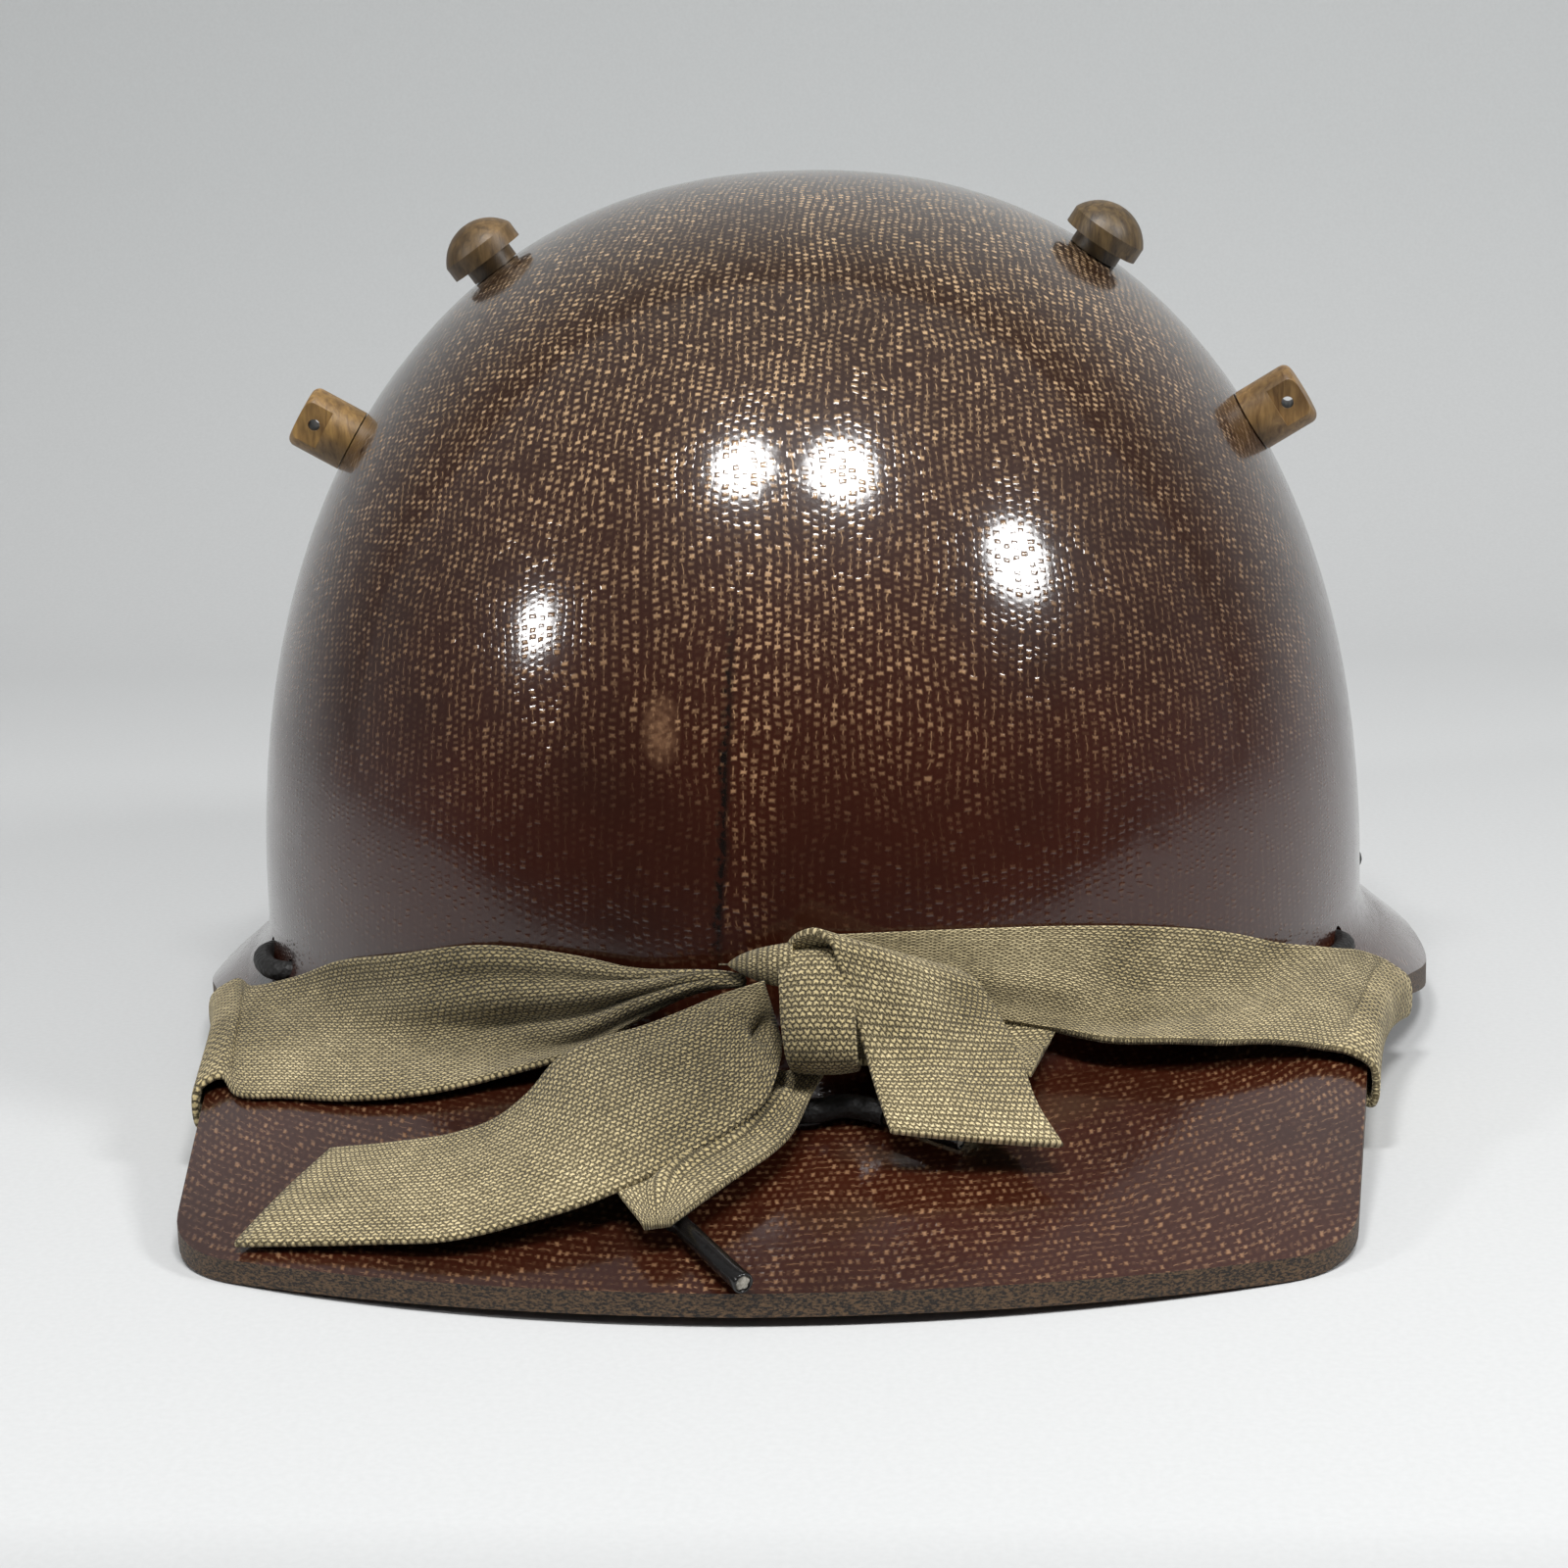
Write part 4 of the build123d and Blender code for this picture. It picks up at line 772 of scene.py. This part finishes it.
s = np.linspace(-0.5, 0.5, 41)[:, None]
turn = np.linspace(0, 2 * pi, 65)[:-1]
wide = np.interp(s, knot_level_shares, knot_width_shares) * (knot_width / 2 - 0.8)
deep = np.interp(s, knot_level_shares, knot_depth_shares) * (knot_depth_out / 2 - 0.9)
close = np.sqrt(np.clip(1 - (2 * np.abs(s)) ** 5, 0, 1))
wide, deep = wide * close + 0.02, deep * close + 0.02
folds = 1 + 0.05 * np.sin(5 * turn + 4 * s) + 0.03 * np.sin(9 * turn - 7 * s)
points = knot_point(wide * squared(np.cos(turn), 0.7) * folds, s * (knot_height - 1.0),
                    deep * squared(np.sin(turn), 0.7) * folds)
uv = grid(s * knot_height, np.append(turn, 2 * pi) * 7.0)
knot = surface("strap_knot_core", points, uv, around=True, caps=True)
# The wrap: a strip over the core's front, its edges tucked in, that slants a little to the right.
wrap_height, wrap_depth = 8.9, 6.3
wrap_run = np.linspace(0, 1, 34)[:, None]
wrap_turn = np.radians(118 - 230 * wrap_run)
wrap_half = np.interp(wrap_run, (0, 0.35, 1), (5.4, 5.8, 5.2))
wrap_up = squared(np.sin(wrap_turn), 0.8) * wrap_height * (1 - 0.05 * strap_across ** 2)
wrap_out = squared(np.cos(wrap_turn), 0.7) * wrap_depth * (1 - 0.26 * np.abs(strap_across) ** 2.2)
wrap_right = 0.3 + 2.0 * wrap_run + wrap_half * strap_across
loop, uv = slab(knot_point(wrap_right, wrap_up, wrap_out), elastic)
wrap = surface("strap_knot_wrap", loop, uv, around=True, caps=True)
# The lobe: a closed horn from the wrap's left edge to a pinched point, crowned above.
lobe_radius = 3.4
lobe_run = np.linspace(0, 1, 26)[:, None]
lobe_turn = np.linspace(0, 2 * pi, 33)[:-1]
lobe_size = np.sin(np.clip(lobe_run * 1.12 + 0.02, 0, 1) * pi / 2 + pi / 2) ** 0.75 * 0.96 + 0.04
lobe_size = lobe_radius * lobe_size * (1 + 0.10 * np.sin(3 * lobe_turn + 5 * lobe_run) * lobe_run)
lobe_right = -2.6 - 11.6 * lobe_run
lobe_up = 6.6 + 0.9 * lobe_run + lobe_size * np.sin(lobe_turn)
lobe_out = 2.4 - 2.2 * lobe_run + lobe_size * np.cos(lobe_turn)
uv = grid(-lobe_right, np.append(lobe_turn, 2 * pi) * 4.2)
lobe = surface("strap_knot_lobe", knot_point(lobe_right, lobe_up, lobe_out), uv, around=True, caps=True)
for piece in (knot, wrap, lobe):
    piece.data.materials.append(khaki)
    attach(piece, "helmet")
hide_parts("strap_knot")

# Free ends of the lace: they come out of their holes under the knot, run down over the visor and
# end in bound tips, black tubes crimped on the cord, with the cord's pale core at the cut.
lace_end_gap, exit_run = 0.45, 4.4


def visor_points(shares):
    """Points of the lace over the visor: azimuth, share of the visor's run and share of the lace."""
    shares = np.array(shares)
    off = lace / 2 + lace_end_gap + shares[:, 2] * lace
    return skin_point(shares[:, 0], shares[:, 1] * visor_run, off)


# Celluloid tip, dipped and crimped: a glossy black film that shows the cord's ridges faintly.
tip_black = mottled("celluloid_tip_black", 700.0, 2.0, "#050505", "#1B1817", 0.18, (0.3, 0.0002))
# Raw cotton core, cut and frayed: a pale grey tuft.
core_tuft = mottled("cotton_core_frayed", 2500.0, 2.0, "#4A463F", "#D8D2C4", 0.9)
tip_turn = np.linspace(0, 2 * pi, 33)[:-1, None]

for side, exit_azimuth, cord_length, middle_shares, tip_shares, tip_length in (
        ("left", exit_left, 0.0443, ((-12.0, 0.375, 0.12), (-9.6, 0.54, 0.0)),
         ((-3.9, 0.885, 0.0), (0.4, 1.17, 0.0)), 18.5),
        ("right", exit_right, 0.0357, ((-1.6, 0.36, 0.12), (3.4, 0.385, 0.03)),
         ((9.0, 0.40, 0.0), (13.6, 0.56, 0.0)), 13.0)):
    leave = lace_point(exit_azimuth, 1)
    _, _, nx, ny = oval(exit_azimuth)
    start, towards = visor_points(tip_shares)
    ahead = unit(towards - start)
    middle = visor_points(middle_shares)
    last_run = np.linalg.norm(middle[-1] - start) / 2
    route = [leave, leave + np.array([nx, ny, 0]) * exit_run, *middle, start - ahead * last_run, start]
    cord = laid_cord(f"lace_end_{side}_bootlace", route, lace, resolution=16)
    cord.data.materials.append(bootlace)
    # The tip: a tube with a rolled collar, a waist where it was crimped and an open, hollow end that
    # shows the core. Profiles are tables of run along the cord and radius.
    tip_profile = ((0.0, 0.2), (0.0, 1.45), (0.25, 1.6), (1.2, 1.6), (1.6, 1.5), (3.0, 1.46), (3.4, 1.54),
                   (tip_length - 1.5, 1.55), (tip_length - 0.3, 1.6), (tip_length, 1.5),
                   (tip_length - 0.1, 1.25), (tip_length - 2.0, 1.2), (tip_length - 2.0, 0.05))
    core_profile = ((tip_length - 1.95, 0.05), (tip_length - 1.9, 1.15), (tip_length - 0.5, 1.2),
                    (tip_length - 0.1, 0.9), (tip_length - 0.05, 0.45), (tip_length, 0.05))
    side_axis = unit(np.cross(ahead, [0, 0, 1.0]))
    spoke = np.cos(tip_turn) * side_axis + np.sin(tip_turn) * np.cross(side_axis, ahead)
    ends = []
    for part, profile, fray, material in (("tip", tip_profile, 0.0, tip_black),
                                          ("core", core_profile, 0.14, core_tuft)):
        profile = np.array(profile)[:, None]
        frayed = 1 + fray * np.sin(5 * tip_turn) * (profile[..., 1:] > 0.8)
        points = start + profile[..., :1] * ahead + profile[..., 1:] * spoke * frayed
        uv = grid(profile[..., 0], np.linspace(0, 10, 33))
        ends.append(surface(f"aglet_{side}_{part}", points, uv, around=True, caps=True))
        ends[-1].data.materials.append(material)
    tip, tuft = ends
    for piece in (cord, tip, tuft):
        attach(piece, "helmet")
    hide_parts(f"lace_end_{side}")
    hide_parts(f"aglet_{side}")

# Studio: a pale floor, dark nearer the camera, that turns up into a grey backdrop, four soft lamps
# where the photographed highlights place them, a surround that is dark before the helmet and pale
# behind and above it, and the camera at the photograph's view.
plaster, tree, shader, place = finish("studio_paper_matt")
fibre = add(tree, "TexNoise", {"Vector": place, "Scale": 900.0, "Detail": 2.0})
fibre_share = add(tree, "MapRange", {"Value": fibre, "From Min": 0.3, "From Max": 0.7, "To Min": 0.96})
at = add(tree, "SeparateXYZ", {0: place}).node.outputs
risen = add(tree, "MapRange", {"Value": at[2], "From Max": 0.16})
# Nearer the camera the floor is painted near-black: painted shade that stands for the dark room before the
# helmet and darkens what its visor and lower wall reflect.
far_share = add(tree, "MapRange", {"Value": at[1], "From Min": -0.34, "From Max": -0.22})
floor_tone_dark_front = add(tree, "Mix", {0: far_share, 6: colour("#1E1E1F"), 7: colour("#CDCECE")}, **mixed)
sheet_tone = add(tree, "Mix", {0: risen, 6: floor_tone_dark_front, 7: colour("#C6C8C8")}, **mixed)
paper_tone = add(tree, "Mix", {0: 1.0, 6: sheet_tone, 7: fibre_share}, blend_type="MULTIPLY", **mixed)
dress(tree, paper_tone, 0.95)
# The sheet's faces point away from the helmet, and it shows from their inner side alone, so the
# helmet can be looked at from behind and below.
inner_side = add(tree, "NewGeometry", output=6)
one_sided = add(tree, "MixShader", {0: inner_side, 1: add(tree, "BsdfTransparent"), 2: shader.outputs[0]})
tree.links.new(one_sided, tree.nodes["Material Output"].inputs["Surface"])
wall_start, wall_bend, wall_height, sheet_front, sheet_half = 400.0, 260.0, 1900.0, -1600.0, 2200.0
bend = np.linspace(0, pi / 2, 13)
turned_up = np.column_stack([wall_start + wall_bend * np.sin(bend), wall_bend * (1 - np.cos(bend))])
sweep = np.concatenate([[(sheet_front, 0.0)], turned_up, [(wall_start + wall_bend, wall_height)]])
points = grid(np.linspace(-sheet_half, sheet_half, 5), sweep[:, :1], sweep[:, 1:])
floor = surface("studio_floor", points - frame_shift * [0, 0, 1], np.zeros((*points.shape[:2], 2)))
floor.data.materials.append(plaster)


def stand(item, aim, azimuth, elevation, distance, roll=0.0):
    """Stands a lamp or the camera off a point, turned to it: angles in degrees, from the front."""
    a, e, r = radians(azimuth), radians(elevation), radians(roll)
    away = np.array([np.sin(a) * np.cos(e), -np.cos(a) * np.cos(e), np.sin(e)])
    right = unit(np.cross([0, 0, 1.0], away))
    up = np.cross(away, right)
    axes = (right * np.cos(r) + up * np.sin(r), up * np.cos(r) - right * np.sin(r), away,
            np.array(aim) + away * distance)
    stood = placed(item.name, item)
    stood.matrix_world = Matrix([*np.array(axes).T.tolist(), (0, 0, 0, 1)])
    return stood


lamp_aim = (0.005, -0.08, 0.10)
for name, azimuth, elevation, distance, size, power in (
        ("lamp_top_left", -20.0, 64.0, 1.15, 0.24, 6.2),
        ("lamp_top_right", 25.0, 63.0, 1.15, 0.28, 7.6),
        ("lamp_right", 67.0, 35.0, 1.10, 0.25, 5.0),
        ("lamp_left", -65.0, 25.0, 1.10, 0.15, 2.2)):
    lamp = bpy.data.lights.new(name, "AREA")
    lamp.shape = "DISK"
    lamp.size = size
    lamp.energy = power
    stand(lamp, lamp_aim, azimuth, elevation, distance)

world = bpy.data.worlds.new("studio_surround")
bpy.context.scene.world = world
world.use_nodes = True
tree = world.node_tree
sky = tree.nodes["Background"]
sky.inputs["Color"].default_value = colour("#EAECEE")
heading = add(tree, "SeparateXYZ", {0: add(tree, "TexCoord")}).node.outputs
behind = add(tree, "MapRange", {"Value": heading[1], "From Min": -0.45, "From Max": 0.5,
                                "To Min": 0.05, "To Max": 0.36})
above = add(tree, "MapRange", {"Value": heading[2], "From Min": 0.3, "From Max": 0.9, "To Max": 0.2})
glow = add(tree, "Math", {0: behind, 1: above}, operation="ADD")
tree.links.new(glow, sky.inputs["Strength"])

camera = bpy.data.cameras.new("view_front")
camera.lens = 69.75
camera.sensor_width = 36.0
camera.sensor_fit = "HORIZONTAL"
camera.clip_start = 0.01
bpy.context.scene.camera = stand(camera, (-0.005562, 0.01505, 0.04222), 4.558, 11.66, 0.58845, -1.715)
bpy.context.scene.view_settings.view_transform = "Standard"

bpy.context.view_layer.update()
